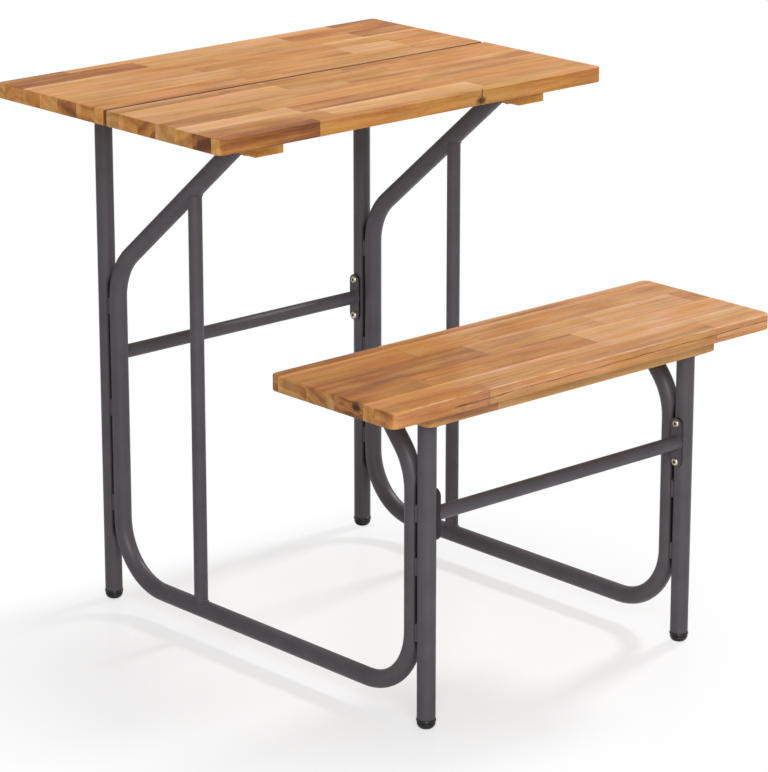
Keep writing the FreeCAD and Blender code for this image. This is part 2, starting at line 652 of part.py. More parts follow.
def wood_screw(name, length):
    """Pattern of a round-headed wood screw: the head hangs below z = 0, the shank points up."""
    body = new_body(name, part=False)
    profile = new_sketch(body, "profile", "XZ_Plane")
    head, shank = "Sizes.screw_head_diameter / 2", "Sizes.screw_diameter / 2"
    polygon(profile, [(0, "-Sizes.screw_head_height"), (head, "-Sizes.screw_head_height"), (head, 0),
                      (shank, 0), (shank, f"{length} - Sizes.screw_point_length"), (0, length)])
    revolve(body, profile)
    fillet(body, "head", "Sizes.screw_head_radius", level("-Sizes.screw_head_height"))
    return body


def bolt():
    """Pattern of a button-head bolt with a hexagon socket: head below z = 0, shank up."""
    body = new_body("bolt_pattern", part=False)
    profile = new_sketch(body, "profile", "XZ_Plane")
    head, shank = "Sizes.bolt_head_diameter / 2", "Sizes.bolt_diameter / 2"
    polygon(profile, [(0, "-Sizes.bolt_head_height"), (head, "-Sizes.bolt_head_height"), (head, 0),
                      (shank, 0), (shank, "Sizes.bolt_length"), (0, "Sizes.bolt_length")])
    revolve(body, profile)
    fillet(body, "head", "Sizes.bolt_head_radius", level("-Sizes.bolt_head_height"))
    socket = new_sketch(body, "socket")
    lift(socket, "-Sizes.bolt_head_height")
    across = "Sizes.bolt_socket_width / 2 / cos(30 deg)"
    polygon(socket, [(f"{across} * cos({60 * i} deg)", f"{across} * sin({60 * i} deg)") for i in range(6)])
    pocket(body, socket, "Sizes.bolt_socket_depth", forward=True)
    return body


def nut():
    """Pattern of a threaded insert, from z = 0 up."""
    body = new_body("nut_pattern", part=False)
    section = new_sketch(body, "section")
    circles(section, [(0, 0)], "Sizes.nut_diameter")
    circles(section, [(0, 0)], "Layout.bolt_hole")
    pad(body, section, "Sizes.nut_length")
    return body


def group(label, pattern, spots):
    """Equal small pieces in one sub-part, each a solid of its own."""
    copies = []
    for spot in spots:
        copy = pattern.Shape.copy()
        copy.Placement = spot.multiply(copy.Placement)
        copies.append(copy)
    feature = doc.addObject("Part::Feature", label)
    feature.Label = label
    feature.Shape = Part.makeCompound(copies)
    parts[label] = feature


def standing(x, y, z):
    """Place of a piece that keeps its own direction."""
    return Placement(Vector(value(x), value(y), value(z)), Rotation())


def fasteners():
    flange_spots, cleat_spots, bolt_spots, nut_spots = [], [], [], []
    for _, sign in SIDES:
        x = f"{sign} * Layout.leg_x"
        flanges = (
            (leg_flange_spots("Layout.table_leg_y"), "Layout.table_tube_top"),
            (tube_flange_spots("Layout.brace_top_y", -1), "Layout.table_tube_top"),
            (leg_flange_spots("Layout.bench_leg_y"), "Layout.bench_tube_top"),
            (tube_flange_spots("Layout.prop_top_y", 1), "Layout.bench_tube_top"),
        )
        for spots, z in flanges:
            flange_spots += [standing(f"{x} + {dx}", y, z) for dx, y in spots]
        sunk = "Layout.cleat_z + Sizes.counterbore_depth"
        for y in ("Layout.rear_board_y", "Layout.front_board_y"):
            cleat_spots += [standing(x, spot, sunk) for spot in cleat_screw_spots(y)]
        outward = Rotation(Vector(0, 1, 0), 90 * sign)
        for _, y, _, bar_height in LEG_PAIRS:
            for z in bolt_heights(bar_height):
                at_plate = Vector(value(f"{sign} * Layout.plate_x"), value(y), value(z))
                at_leg = at_plate + Vector(sign * value("Sizes.plate_thick"), 0, 0)
                bolt_spots.append(Placement(at_plate, outward))
                nut_spots.append(Placement(at_leg, outward))
    seat_spots = [standing(x, f"Layout.seat_y + {y}", "Layout.under_board_z + Sizes.counterbore_depth")
                  for x, y in seat_screw_spots()]
    flange_screw = wood_screw("flange_screw_pattern", "Sizes.flange_screw_length")
    batten_screw = wood_screw("batten_screw_pattern", "Sizes.batten_screw_length")
    group("flange_screws", flange_screw, flange_spots)
    group("cleat_screws", batten_screw, cleat_spots)
    group("under_board_screws", batten_screw, seat_spots)
    group("cross_bar_bolts", bolt(), bolt_spots)
    group("leg_nuts", nut(), nut_spots)


def weld_bead():
    """Pattern of a stitch weld in the groove between a leg, at y = 0, and the tube at y = -pitch."""
    body = new_body("weld_pattern", part=False)
    section = new_sketch(body, "section")
    circles(section, [("Sizes.weld_offset", "-Layout.tube_pitch / 2")], "2 * Sizes.weld_radius")
    pad(body, section, "Sizes.weld_length", symmetric=True)
    fillet(body, "ends", "Sizes.weld_end_radius", lambda edge: edge.BoundBox.ZLength < 0.001)
    for name, y in (("leg", 0), ("tube", "-Layout.tube_pitch")):
        groove = new_sketch(body, name)
        circles(groove, [(0, y)], "2 * Layout.weld_cut_radius")
        pocket(body, groove, "2 * Sizes.weld_length", symmetric=True)
    return body


def stitch_welds():
    """Short welds on both faces of each frame, three along every leg."""
    bead = weld_bead()
    turned = Rotation(Vector(0, 0, 1), 180)
    heights = {pair: [f"Sizes.{pair}_weld_{name}" for name in ("low", "middle", "high")]
               for pair in ("table", "bench")}
    for side, sign in SIDES:
        x = value(f"{sign} * Layout.leg_x")
        spots = []
        for z in heights["table"]:
            leg_y, tube_y = value("Layout.table_leg_y"), value("Layout.table_run_y")
            spots.append(Placement(Vector(x, leg_y, value(z)), Rotation()))
            spots.append(Placement(Vector(x, tube_y, value(z)), turned))
        for z in heights["bench"]:
            leg_y, tube_y = value("Layout.bench_leg_y"), value("Layout.bench_run_y")
            spots.append(Placement(Vector(x, tube_y, value(z)), Rotation()))
            spots.append(Placement(Vector(x, leg_y, value(z)), turned))
        group(f"stitch_welds_{side}", bead, spots)


def check():
    """Stop if any feature failed or any sub-part is not sound."""
    doc.recompute()
    for thing in doc.Objects:
        if {"Invalid", "Error"} & set(thing.State):
            raise RuntimeError(f"{thing.Name} failed")
    for label, thing in parts.items():
        if thing.Shape.isNull() or not thing.Shape.isValid():
            raise RuntimeError(f"{label} has no sound shape")


def write():
    os.makedirs("parts", exist_ok=True)
    for label, thing in parts.items():
        thing.Shape.exportStep(f"parts/{label}.step")
    print(len(parts), "parts written")


table_boards()
table_cleats()
seat()
legs()
side_tubes()
struts()
cross_bars()
fasteners()
stitch_welds()
check()
write()
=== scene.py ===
# %% [markdown]
# # A garden table joined to its bench
# Two wooden table boards and a lower seat board are carried by two bent steel tube frames. The solid
# model already holds every board, tube, plate, cap and bolt in its right place. This script loads it,
# gives each surface the finish of the real one, and adds the small work that a shop would do by hand:
# weld seams and driven screws. Everything is in metres, in the solid model's own frame.

# %% Load the solid model
import json
from math import cos, pi, radians, sin, sqrt, tan
from random import Random

import bmesh
import bpy
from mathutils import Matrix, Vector


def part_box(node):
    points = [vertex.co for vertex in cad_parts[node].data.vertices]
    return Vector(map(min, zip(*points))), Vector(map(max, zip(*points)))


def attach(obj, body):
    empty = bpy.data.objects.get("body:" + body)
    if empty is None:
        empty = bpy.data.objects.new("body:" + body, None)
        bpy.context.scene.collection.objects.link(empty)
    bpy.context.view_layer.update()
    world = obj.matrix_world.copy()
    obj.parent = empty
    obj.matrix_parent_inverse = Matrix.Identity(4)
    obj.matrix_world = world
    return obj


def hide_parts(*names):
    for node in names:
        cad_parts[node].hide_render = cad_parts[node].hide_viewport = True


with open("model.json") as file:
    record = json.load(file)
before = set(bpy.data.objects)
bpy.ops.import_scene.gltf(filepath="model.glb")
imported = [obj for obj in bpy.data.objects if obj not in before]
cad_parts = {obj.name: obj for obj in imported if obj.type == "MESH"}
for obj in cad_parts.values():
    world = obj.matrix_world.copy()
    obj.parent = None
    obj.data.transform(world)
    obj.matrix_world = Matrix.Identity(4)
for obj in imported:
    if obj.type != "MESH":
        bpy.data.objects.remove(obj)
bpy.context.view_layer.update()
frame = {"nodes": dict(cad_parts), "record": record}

nodes = frame["nodes"]

# %% [markdown]
# ## The camera
# The photographer stood to the left of the bench corner, a little above the table top, with a long
# lens: lines that run away from the camera hardly draw together. A short lens nearer by would give the
# same frame but a different perspective, so both the distance and the lens follow the picture.

# %% Set up the camera
PICTURE_LONG_SIDE = 772
LENS_IN_PIXELS = 3550
SENSOR_WIDTH = 36
EYE, AIM = (-3.184, -3.543, 1.781), (-0.0789, -0.0916, 0.3778)


def put(name, data):
    """Add an object to the scene."""
    thing = bpy.data.objects.new(name, data)
    bpy.context.scene.collection.objects.link(thing)
    return thing


def put_facing(name, data, place, target):
    """Add a camera or a light at a place, turned to a target."""
    thing = put(name, data)
    thing.location = place
    thing.rotation_euler = (Vector(target) - Vector(place)).to_track_quat("-Z", "Y").to_euler()
    return thing


view = bpy.data.cameras.new("studio_camera")
view.sensor_width = SENSOR_WIDTH
view.lens = LENS_IN_PIXELS * SENSOR_WIDTH / PICTURE_LONG_SIDE
bpy.context.scene.camera = put_facing("studio_camera", view, EYE, AIM)
print(f"lens {view.lens:.0f} mm, {(Vector(AIM) - Vector(EYE)).length:.2f} m away")

# %% [markdown]
# ## Helpers for node trees
# Every finish below is a small tree of nodes. Adding a node and wiring its inputs is always the same
# three lines, so they are put in helpers once. An input takes either another node's output, which is
# linked, or a plain value, which is set.


# %% Helpers that add and wire nodes
def feed(tree, socket, source):
    """Link an output to this input, or set the input to a plain value."""
    if isinstance(source, bpy.types.NodeSocket):
        tree.links.new(source, socket)
    else:
        socket.default_value = source


def add(tree, kind, sources=(), **settings):
    """Add a node. The sources go to its inputs in order, or by name if they are a dict."""
    node = tree.nodes.new(kind)
    for name, setting in settings.items():
        setattr(node, name, setting)
    pairs = sources.items() if isinstance(sources, dict) else enumerate(sources)
    for key, source in pairs:
        feed(tree, node.inputs[key], source)
    return node


print("nodes can be added and wired")

# %% [markdown]
# A finish is mostly arithmetic: masks are multiplied, marks are added up, and one value fades into
# another. These helpers write such a sum in one line. Noise is the other half, because no real surface
# is quite even: left as it is it makes clouds, and drawn out along one axis it makes fibres.


# %% Helpers for sums, fades and noise
def calc(tree, operation, *sources):
    """A sum with plain numbers, such as calc(tree, "ADD", a, b)."""
    return add(tree, "ShaderNodeMath", sources, operation=operation).outputs[0]


def vector_calc(tree, operation, *sources):
    """A sum with vectors. Gives the node's outputs, Vector and Value."""
    return add(tree, "ShaderNodeVectorMath", sources, operation=operation).outputs


def split(tree, vector):
    """The X, Y and Z of a vector."""
    return add(tree, "ShaderNodeSeparateXYZ", [vector]).outputs


def product(tree, first, *others):
    """Several values multiplied together."""
    for other in others:
        first = calc(tree, "MULTIPLY", first, other)
    return first


def weigh(tree, *terms):
    """The sum of several (factor, value) terms."""
    total = 0.0
    for factor, value in terms:
        total = calc(tree, "MULTIPLY_ADD", value, factor, total)
    return total


def span(tree, value, low, high):
    """Goes evenly from low to high as the value goes from 0 to 1."""
    return calc(tree, "MULTIPLY_ADD", value, high - low, low)


def slope(tree, value, start, end, low=0.0, high=1.0):
    """Goes smoothly from low at start to high at end, and stays there."""
    sources = {"Value": value, "From Min": start, "From Max": end, "To Min": low, "To Max": high}
    return add(tree, "ShaderNodeMapRange", sources, interpolation_type="SMOOTHSTEP").outputs[0]


def from_axis(tree, first, second):
    """Distance from an axis, for the two offsets at right angles to it."""
    return calc(tree, "SQRT", weigh(tree, (first, first), (second, second)))


MIX_SOCKETS = {"FLOAT": (2, 3, 0), "VECTOR": (4, 5, 1), "RGBA": (6, 7, 2)}


def mix(tree, kind, factor, first, second, blend_type="MIX"):
    """Goes from the first value to the second as the factor goes from 0 to 1."""
    a, b, result = MIX_SOCKETS[kind]
    sources = {0: factor, a: first, b: second}
    return add(tree, "ShaderNodeMix", sources, data_type=kind, blend_type=blend_type).outputs[result]


def tint(tree, mask, colour, by):
    """A colour, multiplied by another where the mask is 1."""
    return mix(tree, "RGBA", mask, colour, by, "MULTIPLY")


def noise(tree, point, stretch, detail=2.0, roughness=0.5):
    """Cloudy noise from 0 to 1; stretch says how many clouds fit in one unit along each axis."""
    sources = {"Vector": vector_calc(tree, "MULTIPLY", point, stretch)["Vector"], "Scale": 1.0,
               "Detail": detail, "Roughness": roughness}
    return add(tree, "ShaderNodeTexNoise", sources).outputs[0]


print("sums, fades and noise are ready")

# %% [markdown]
# A node group is like a function: it has named inputs and outputs, and can be placed in many materials.
# A material joins such outputs to one Principled shader. It reads the point in the object's own
# coordinates, so the finish stays on the piece when the camera moves. Colours are written as a screen
# shows them and turned into the linear values in which light adds up.


# %% Helpers for groups and materials
def new_group(name, inputs, outputs, kind="ShaderNodeTree"):
    """A reusable node group with named sockets. Gives the group, its inputs and its outputs."""
    group = bpy.data.node_groups.new(name, kind)
    for in_out, sockets in (("INPUT", inputs), ("OUTPUT", outputs)):
        for socket, socket_kind in sockets.items():
            group.interface.new_socket(socket, in_out=in_out, socket_type="NodeSocket" + socket_kind)
    return group, group.nodes.new("NodeGroupInput").outputs, group.nodes.new("NodeGroupOutput").inputs


def place_group(tree, group, sources):
    """Put a shader group in a material or in another group."""
    return add(tree, "ShaderNodeGroup", sources, node_tree=group).outputs


def new_material(name):
    """A material with one Principled shader. Gives it with its tree and the shader's inputs."""
    material = bpy.data.materials.new(name)
    material.use_nodes = True
    return material, material.node_tree, material.node_tree.nodes["Principled BSDF"].inputs


def object_point(tree):
    """The point that is shaded, in metres from the object's origin."""
    return add(tree, "ShaderNodeTexCoord").outputs["Object"]


def surface_normal(tree):
    """The direction in which the surface faces."""
    return add(tree, "ShaderNodeNewGeometry").outputs["Normal"]


def bump(tree, height, distance, strength):
    """A normal that shows a height, one unit of which stands distance metres proud."""
    sources = {"Height": height, "Distance": distance, "Strength": strength}
    return add(tree, "ShaderNodeBump", sources).outputs["Normal"]


def linear(red, green, blue):
    """A screen colour, 0 to 255, as the linear colour that nodes work in."""
    parts = [part / 255 for part in (red, green, blue)]
    return [part / 12.92 if part <= 0.04045 else ((part + 0.055) / 1.055) ** 2.4 for part in parts] + [1.0]


print("middle grey is", round(linear(128, 128, 128)[0], 3), "in linear light")

# %% [markdown]
# ## The boards are glued up from staves
# No tree gives a plank as wide as these cheaply, so the maker glues narrow staves side by side and end
# to end. That patchwork of pale and dark lengths is what the eye sees first. A picture could be laid
# on the board, but a cutting list keeps it editable and sharp at any distance: each row has a width,
# and each stave in it a tone and a length, from the rear edge forward and from the left end. All are
# in millimetres. Sawn ends drink more oil than faces, some of them much more, so the large boards have
# a second list: the tone of each row at its ends.

# %% The cutting lists
TONES = {"black heart": 0.14, "core": 0.27, "heart": 0.33, "dark": 0.40, "warm": 0.47, "honey": 0.54,
         "light": 0.61, "pale": 0.71}

REAR_ROWS = (
    (20, (("heart", 112), ("pale", 488), ("heart", 100))),
    (41, (("heart", 220), ("light", 270), ("dark", 210))),
    (38, (("light", 325), ("light", 267), ("heart", 108))),
    (41, (("light", 255), ("warm", 255), ("honey", 190))),
    (41, (("honey", 300), ("warm", 200), ("light", 100), ("warm", 100))),
    (40, (("honey", 270), ("warm", 330), ("honey", 100))),
    (19, (("honey", 330), ("warm", 370))),
)
FRONT_ROWS = (
    (28, (("dark", 185), ("warm", 85), ("dark", 140), ("warm", 290))),
    (42, (("light", 270), ("warm", 190), ("honey", 240))),
    (37, (("honey", 360), ("warm", 340))),
    (40, (("dark", 160), ("honey", 290), ("warm", 250))),
    (38, (("pale", 190), ("dark", 210), ("honey", 300))),
    (38, (("dark", 213), ("pale", 272), ("warm", 215))),
    (17, (("core", 172), ("warm", 528))),
)
SEAT_ROWS = (
    (18, (("heart", 185), ("warm", 515))),
    (56, (("dark", 195), ("honey", 115), ("honey", 390))),
    (54, (("dark", 272), ("warm", 218), ("honey", 175), ("dark", 35))),
    (55, (("dark", 118), ("warm", 302), ("light", 280))),
    (22, (("honey", 590), ("light", 110))),
    (35, (("warm", 165), ("warm", 425), ("honey", 110))),
)
UNDER_ROWS = (
    (44, (("honey", 250), ("warm", 286))),
    (52, (("warm", 180), ("light", 356))),
    (52, (("honey", 320), ("dark", 216))),
    (46, (("warm", 120), ("honey", 416))),
)
CLEAT_ROWS = ((48, (("honey", 426),)),)

LARGE_BOARDS = {"table_board_rear": REAR_ROWS, "table_board_front": FRONT_ROWS, "bench_seat": SEAT_ROWS}
END_TONES = {
    "table_board_rear": ("pale", "light", "honey", "light", "heart", "honey", "light"),
    "table_board_front": ("honey", "honey", "dark", "light", "honey", "black heart", "light"),
    "bench_seat": ("warm", "honey", "warm", "dark", "warm", "dark"),
}
for board, rows in LARGE_BOARDS.items():
    print(board, "is glued up from", sum(len(staves) for _, staves in rows), "staves")

# %% [markdown]
# A shader can't search a list, but a colour ramp with hard steps is one: the position is the place along
# the board, and the colour holds three numbers for the stave found there, its tone and two lots. One ramp
# serves each row, and the place across the board picks the row. The lots make every stave differ, and
# since they are drawn with the plan's name as the seed, they fall the same way each time.

# %% A group that finds the stave under a point
TONE_SPREAD = 0.03


def stave_plan(name, rows):
    """Group: for a point on the board, its stave's tone and two lots, and the place across its row."""
    plan, given, wanted = new_group(name, {"Point": "Vector"}, {"Stave": "Vector", "Across": "Float"})
    spot = split(plan, given["Point"])
    length = sum(stave_length for _, stave_length in rows[0][1])
    along = calc(plan, "DIVIDE", spot["X"], length)
    dice = Random(name)
    stave, start, edge = None, 0.0, 0.0
    for width, staves in rows:
        ramp = add(plan, "ShaderNodeValToRGB", [along])
        ramp.color_ramp.interpolation = "CONSTANT"
        stops = ramp.color_ramp.elements
        stops.remove(stops[1])
        reach = 0
        for tone, stave_length in staves:
            stop = stops.new(reach / length) if reach else stops[0]
            shift = dice.uniform(-TONE_SPREAD, TONE_SPREAD)
            stop.color = (TONES[tone] + shift, dice.random(), dice.random(), 1)
            reach += stave_length
        if stave is None:
            stave = ramp.outputs["Color"]
        else:
            beyond = calc(plan, "GREATER_THAN", spot["Y"], edge)
            stave = mix(plan, "VECTOR", beyond, stave, ramp.outputs["Color"])
            start = mix(plan, "FLOAT", beyond, start, edge)
        edge += width
    feed(plan, wanted["Stave"], stave)
    feed(plan, wanted["Across"], calc(plan, "SUBTRACT", spot["Y"], start))
    return plan


plans = {
    "table_board_rear": stave_plan("rear_board_staves", REAR_ROWS),
    "table_board_front": stave_plan("front_board_staves", FRONT_ROWS),
    "bench_seat": stave_plan("seat_staves", SEAT_ROWS),
    "bench_under_board": stave_plan("under_board_staves", UNDER_ROWS),
    "table_cleat_left": stave_plan("left_cleat_stave", CLEAT_ROWS),
    "table_cleat_right": stave_plan("right_cleat_stave", CLEAT_ROWS),
}
end_plans = {}
for board, rows in LARGE_BOARDS.items():
    sawn_rows = [(width, ((tone, 1),)) for (width, _), tone in zip(rows, END_TONES[board])]
    end_plans[board] = stave_plan(board + "_ends", sawn_rows)
print(len(plans), "plans of staves and", len(end_plans), "plans of sawn ends")

# %% [markdown]
# ## The figure of the wood
# Inside each stave the growth rings of a tree are cut through. The rings are tubes round the heart of
# the trunk, which lies somewhere below or above the stave and leans a little. The same ring field is
# read on every face, so a board shows long flames on top and round arcs on its sawn ends, and they meet
# at the corner as they do in real timber. A stave's two lots say where its heart was.

# %% How far a point lies from the heart of its tree
HEART_ASIDE = (-35.0, 75.0)
HEART_BELOW = (40.0, 100.0)
HEART_LEAN = 0.06
BOARD_THICKNESS = 22.0
# A lot times one of these, without its whole part, is a new lot.
REDRAWS = {"above": 5.0, "lean": 17.0, "pale line": 7.0, "redness": 29.0}


def redraw(tree, lot, use):
    """A new lot from 0 to 1 for another use, made from a stave's lot."""
    return calc(tree, "FRACT", calc(tree, "MULTIPLY", lot, REDRAWS[use]))


def heart_distance(tree, point, across, lot, other_lot):
    """Distance in mm from the heart of the tree that a stave was cut from."""
    spot = split(tree, point)
    side = calc(tree, "SUBTRACT", across, span(tree, lot, *HEART_ASIDE))
    below = span(tree, other_lot, *HEART_BELOW)
    above = calc(tree, "SUBTRACT", -BOARD_THICKNESS, below)
    is_above = calc(tree, "GREATER_THAN", redraw(tree, lot, "above"), 0.5)
    heart = mix(tree, "FLOAT", is_above, below, above)
    lean = span(tree, redraw(tree, lot, "lean"), -HEART_LEAN, HEART_LEAN)
    depth = calc(tree, "MULTIPLY_ADD", spot["X"], lean, calc(tree, "ADD", spot["Z"], heart))
    return from_axis(tree, side, depth)


print("hearts lie", HEART_BELOW, "mm below or above the boards")

# %% [markdown]
# The rings come from noise that is read along one line, the distance from the heart, so they are as
# uneven as good and bad years make them. The colour is picked from a short scale between dark heartwood
# and pale sapwood, and two tints turn some stretches redder and some yellower.

# %% Rings and colours of the wood
WOOD_COLOURS = (
    (0.00, linear(98, 57, 30)),
    (0.25, linear(155, 98, 49)),
    (0.50, linear(195, 141, 70)),
    (0.75, linear(216, 162, 96)),
    (1.00, linear(238, 190, 120)),
)
RED_TINT, RED_SHARE = (1.03, 0.87, 0.76, 1.0), 0.85
YELLOW_TINT = (1.0, 1.0, 0.74, 1.0)
RINGS_PER_MM, RING_WANDER, RING_SHIFT = 0.085, 1.8, 50.0
RING_EDGES, HUE_EDGES = (0.30, 0.70), (0.36, 0.64)


def growth_rings(tree, radius, wander, lot):
    """Pale and dark rings from 0 to 1, of uneven width, by the distance from the heart."""
    place = weigh(tree, (RINGS_PER_MM, radius), (RING_WANDER, wander), (RING_SHIFT, lot))
    rings = add(tree, "ShaderNodeTexNoise", {"W": place, "Scale": 1.0, "Detail": 1.0}, noise_dimensions="1D")
    return slope(tree, rings.outputs[0], *RING_EDGES)


def wood_colour(tree, shade, redness, yellowness):
    """The colour for a shade from 0, dark heartwood, to 1, pale sapwood."""
    ramp = add(tree, "ShaderNodeValToRGB", [shade])
    stops = ramp.color_ramp.elements
    for index, (position, colour) in enumerate(WOOD_COLOURS):
        # A new ramp has two stops already.
        stop = stops[index] if index < 2 else stops.new(position)
        stop.position, stop.color = position, colour
    red = slope(tree, redness, *HUE_EDGES, 0.0, RED_SHARE)
    colour = tint(tree, red, ramp.outputs["Color"], RED_TINT)
    return tint(tree, slope(tree, yellowness, *HUE_EDGES), colour, YELLOW_TINT)


print("the scale of the wood has", len(WOOD_COLOURS), "colours")

# %% [markdown]
# Fine fibres, slow bands and blotches, short dark pores and a pale sapwood edge go on top of the rings.
# Each is the same noise, only drawn out differently. They are added to the tone of the stave, and the
# sum picks the colour. Dark staves are redder as a whole. It could all be painted by hand, but a recipe
# gives every stave its own figure and never repeats.

# %% A group for the figure of the wood
# Clouds in 1 mm along the grain, across and up; then how many finer layers, and how strong they are.
MARKS = {
    "wander": ((0.005, 0.03, 0.03), 2.0, 0.5),
    "streaks": ((0.004, 0.12, 0.12), 4.0, 0.65),
    "fibre": ((0.02, 0.9, 0.9), 4.0, 0.7),
    "bands": ((0.006, 0.06, 0.06), 2.0, 0.5),
    "blotches": ((0.010, 0.022, 0.022), 3.0, 0.5),
    "pores": ((0.11, 2.2, 2.2), 2.0, 0.5),
    "redness": ((0.007, 0.03, 0.03), 3.0, 0.5),
    "yellowness": ((0.009, 0.05, 0.05), 2.0, 0.5),
}
STAVE_SHIFT = (700.0, 900.0, 900.0)
# Where these begin and are full in their noise.
STREAK_EDGES, PORE_EDGES, UNBROKEN = (0.34, 0.64), (0.58, 0.68), (0.44, 0.58)
# Where a strip along the edge begins and is full in mm, how far it wanders, and above which lot it is.
SAPWOOD = (18.0, 12.0), 12.0, 0.55
PALE_LINE = (5.5, 3.0), 4.0, 0.45
RING_STRENGTH, END_RING_STRENGTH = 0.09, 0.23
STREAK_STRENGTH, END_STREAK_STRENGTH = 0.13, 0.02
SHADE_WEIGHTS = {"fibre": 0.56, "bands": 0.32, "blotches": 0.38, "sapwood": 0.12, "pale line": 0.20,
                 "pores": -0.13, "joint": -0.22, "end": -0.08}
MEAN_OF_MARKS = 0.745
REDNESS_SPREAD, REDNESS_OF_DARK, MIDDLE_TONE = 0.11, 0.35, 0.52
WOOD_ROUGHNESS, ROUGHNESS_WEIGHTS = 0.60, {"fibre": 0.16, "end": 0.10}
RELIEF_WEIGHTS = {"fibre": 0.6, "pores": -0.8, "joint": -0.6}


def edge_strip(tree, across, wander, lot, edge, wandering, least_lot):
    """1 along the rear edge of the staves with a high lot, and 0 elsewhere."""
    inward = calc(tree, "MULTIPLY_ADD", wander, wandering, across)
    return product(tree, slope(tree, inward, *edge), calc(tree, "GREATER_THAN", lot, least_lot))


def terms(weights, marks):
    """The marks with their weights, ready to be added up."""
    return [(weight, marks[name]) for name, weight in weights.items()]


def wood_figure():
    """Group: the colour, roughness and relief of oiled wood at a point in millimetres."""
    inputs = {"Point": "Vector", "Stave": "Vector", "Across": "Float", "Joint": "Float", "End": "Float"}
    outputs = {"Color": "Color", "Roughness": "Float", "Relief": "Float"}
    tree, given, wanted = new_group("wood_figure", inputs, outputs)
    tone, lot, other_lot = split(tree, given["Stave"])
    across, end = given["Across"], given["End"]
    # Each stave was cut from another place, so its noise is read elsewhere.
    elsewhere = vector_calc(tree, "MULTIPLY_ADD", given["Stave"], STAVE_SHIFT, given["Point"])["Vector"]
    marks = {name: noise(tree, elsewhere, *settings) for name, settings in MARKS.items()}
    wander = marks["wander"]
    rings = growth_rings(tree, heart_distance(tree, given["Point"], across, lot, other_lot), wander, lot)
    streaks = slope(tree, marks["streaks"], *STREAK_EDGES)
    marks |= {"pores": slope(tree, marks["pores"], *PORE_EDGES), "joint": given["Joint"], "end": end}
    # Some staves keep a pale strip of sapwood along their rear edge, and some a thin line with breaks.
    marks["sapwood"] = edge_strip(tree, across, wander, other_lot, *SAPWOOD)
    line = edge_strip(tree, across, wander, redraw(tree, other_lot, "pale line"), *PALE_LINE)
    marks["pale line"] = product(tree, line, slope(tree, marks["blotches"], *UNBROKEN))
    # A sawn end shows the rings, and a face the streaks.
    ring_strength = span(tree, end, RING_STRENGTH, END_RING_STRENGTH)
    streak_strength = span(tree, end, STREAK_STRENGTH, END_STREAK_STRENGTH)
    shade = weigh(tree, (1.0, tone), (ring_strength, rings), (streak_strength, streaks),
                  *terms(SHADE_WEIGHTS, marks), (-1.0, MEAN_OF_MARKS))
    other_red = span(tree, redraw(tree, lot, "redness"), -REDNESS_SPREAD, REDNESS_SPREAD)
    redness = weigh(tree, (1.0, marks["redness"]), (1.0, other_red), (-REDNESS_OF_DARK, tone),
                    (REDNESS_OF_DARK, MIDDLE_TONE))
    feed(tree, wanted["Color"], wood_colour(tree, shade, redness, marks["yellowness"]))
    feed(tree, wanted["Roughness"], weigh(tree, *terms(ROUGHNESS_WEIGHTS, marks), (1.0, WOOD_ROUGHNESS)))
    feed(tree, wanted["Relief"], weigh(tree, *terms(RELIEF_WEIGHTS, marks)))
    return tree


figure = wood_figure()
print("the wood figure has", len(figure.nodes), "nodes")

# %% [markdown]
# ## Knots
# A branch leaves a dark, ragged spot in the board. It is a distance from a centre, with noise added so
# that its rim frays, and drawn out along the grain because the fibres flow round the branch.

# %% A group for knots
KNOT_STRETCH = 0.55
KNOT_RIM = (1.5, 0.75)
KNOT_FRAY = (0.15, 0.35, 0.35)


def knot_mask():
    """Group: 1 inside a ragged spot round a centre, 0 outside."""
    inputs = {"Point": "Vector", "Centre": "Vector", "Radius": "Float", "Flatness": "Float"}
    tree, given, wanted = new_group("knot_mask", inputs, {"Mask": "Float"})
    away = vector_calc(tree, "SUBTRACT", given["Point"], given["Centre"])["Vector"]
    squeeze = add(tree, "ShaderNodeCombineXYZ", [KNOT_STRETCH, 1.0, given["Flatness"]]).outputs[0]
    away = vector_calc(tree, "MULTIPLY", away, squeeze)["Vector"]
    distance = vector_calc(tree, "LENGTH", away)["Value"]
    fray = noise(tree, given["Point"], KNOT_FRAY)
    ragged = calc(tree, "MULTIPLY_ADD", fray, given["Radius"], distance)
    outer, inner = (calc(tree, "MULTIPLY", given["Radius"], share) for share in KNOT_RIM)
    feed(tree, wanted["Mask"], slope(tree, ragged, outer, inner))
    return tree


knot = knot_mask()
print("the knot has", len(knot.nodes), "nodes")

# %% [markdown]
# ## Where a point lies on its board
# The six wooden pieces share the figure, but each has its own cutting list and its own grain direction:
# the two cleats under the table run from front to back. A Mapping node turns the point on the piece into
# millimetres from its rear left bottom corner, along the grain first. Reading the plan a second time,
# less than a millimetre away, shows where one stave ends, and that is drawn as a thin glue line.

# %% Find the point, the stave and the glue line
MM = 1000.0
GLUE_LINE = (0.6, 0.6, 0.0)
SAME_STAVE = 0.001


def board_point(tree, node, along_y):
    """A point on the piece in mm: along the grain, across it from one edge, and up."""
    low, high = (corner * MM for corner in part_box(node))
    if along_y:
        location, turn, scale = (-low.y, high.x, -low.z), radians(-90), (MM, MM, MM)
    else:
        location, turn, scale = (-low.x, high.y, -low.z), 0.0, (MM, -MM, MM)
    sources = {"Vector": object_point(tree), "Location": location, "Rotation": (0.0, 0.0, turn),
               "Scale": scale}
    return add(tree, "ShaderNodeMapping", sources).outputs[0]


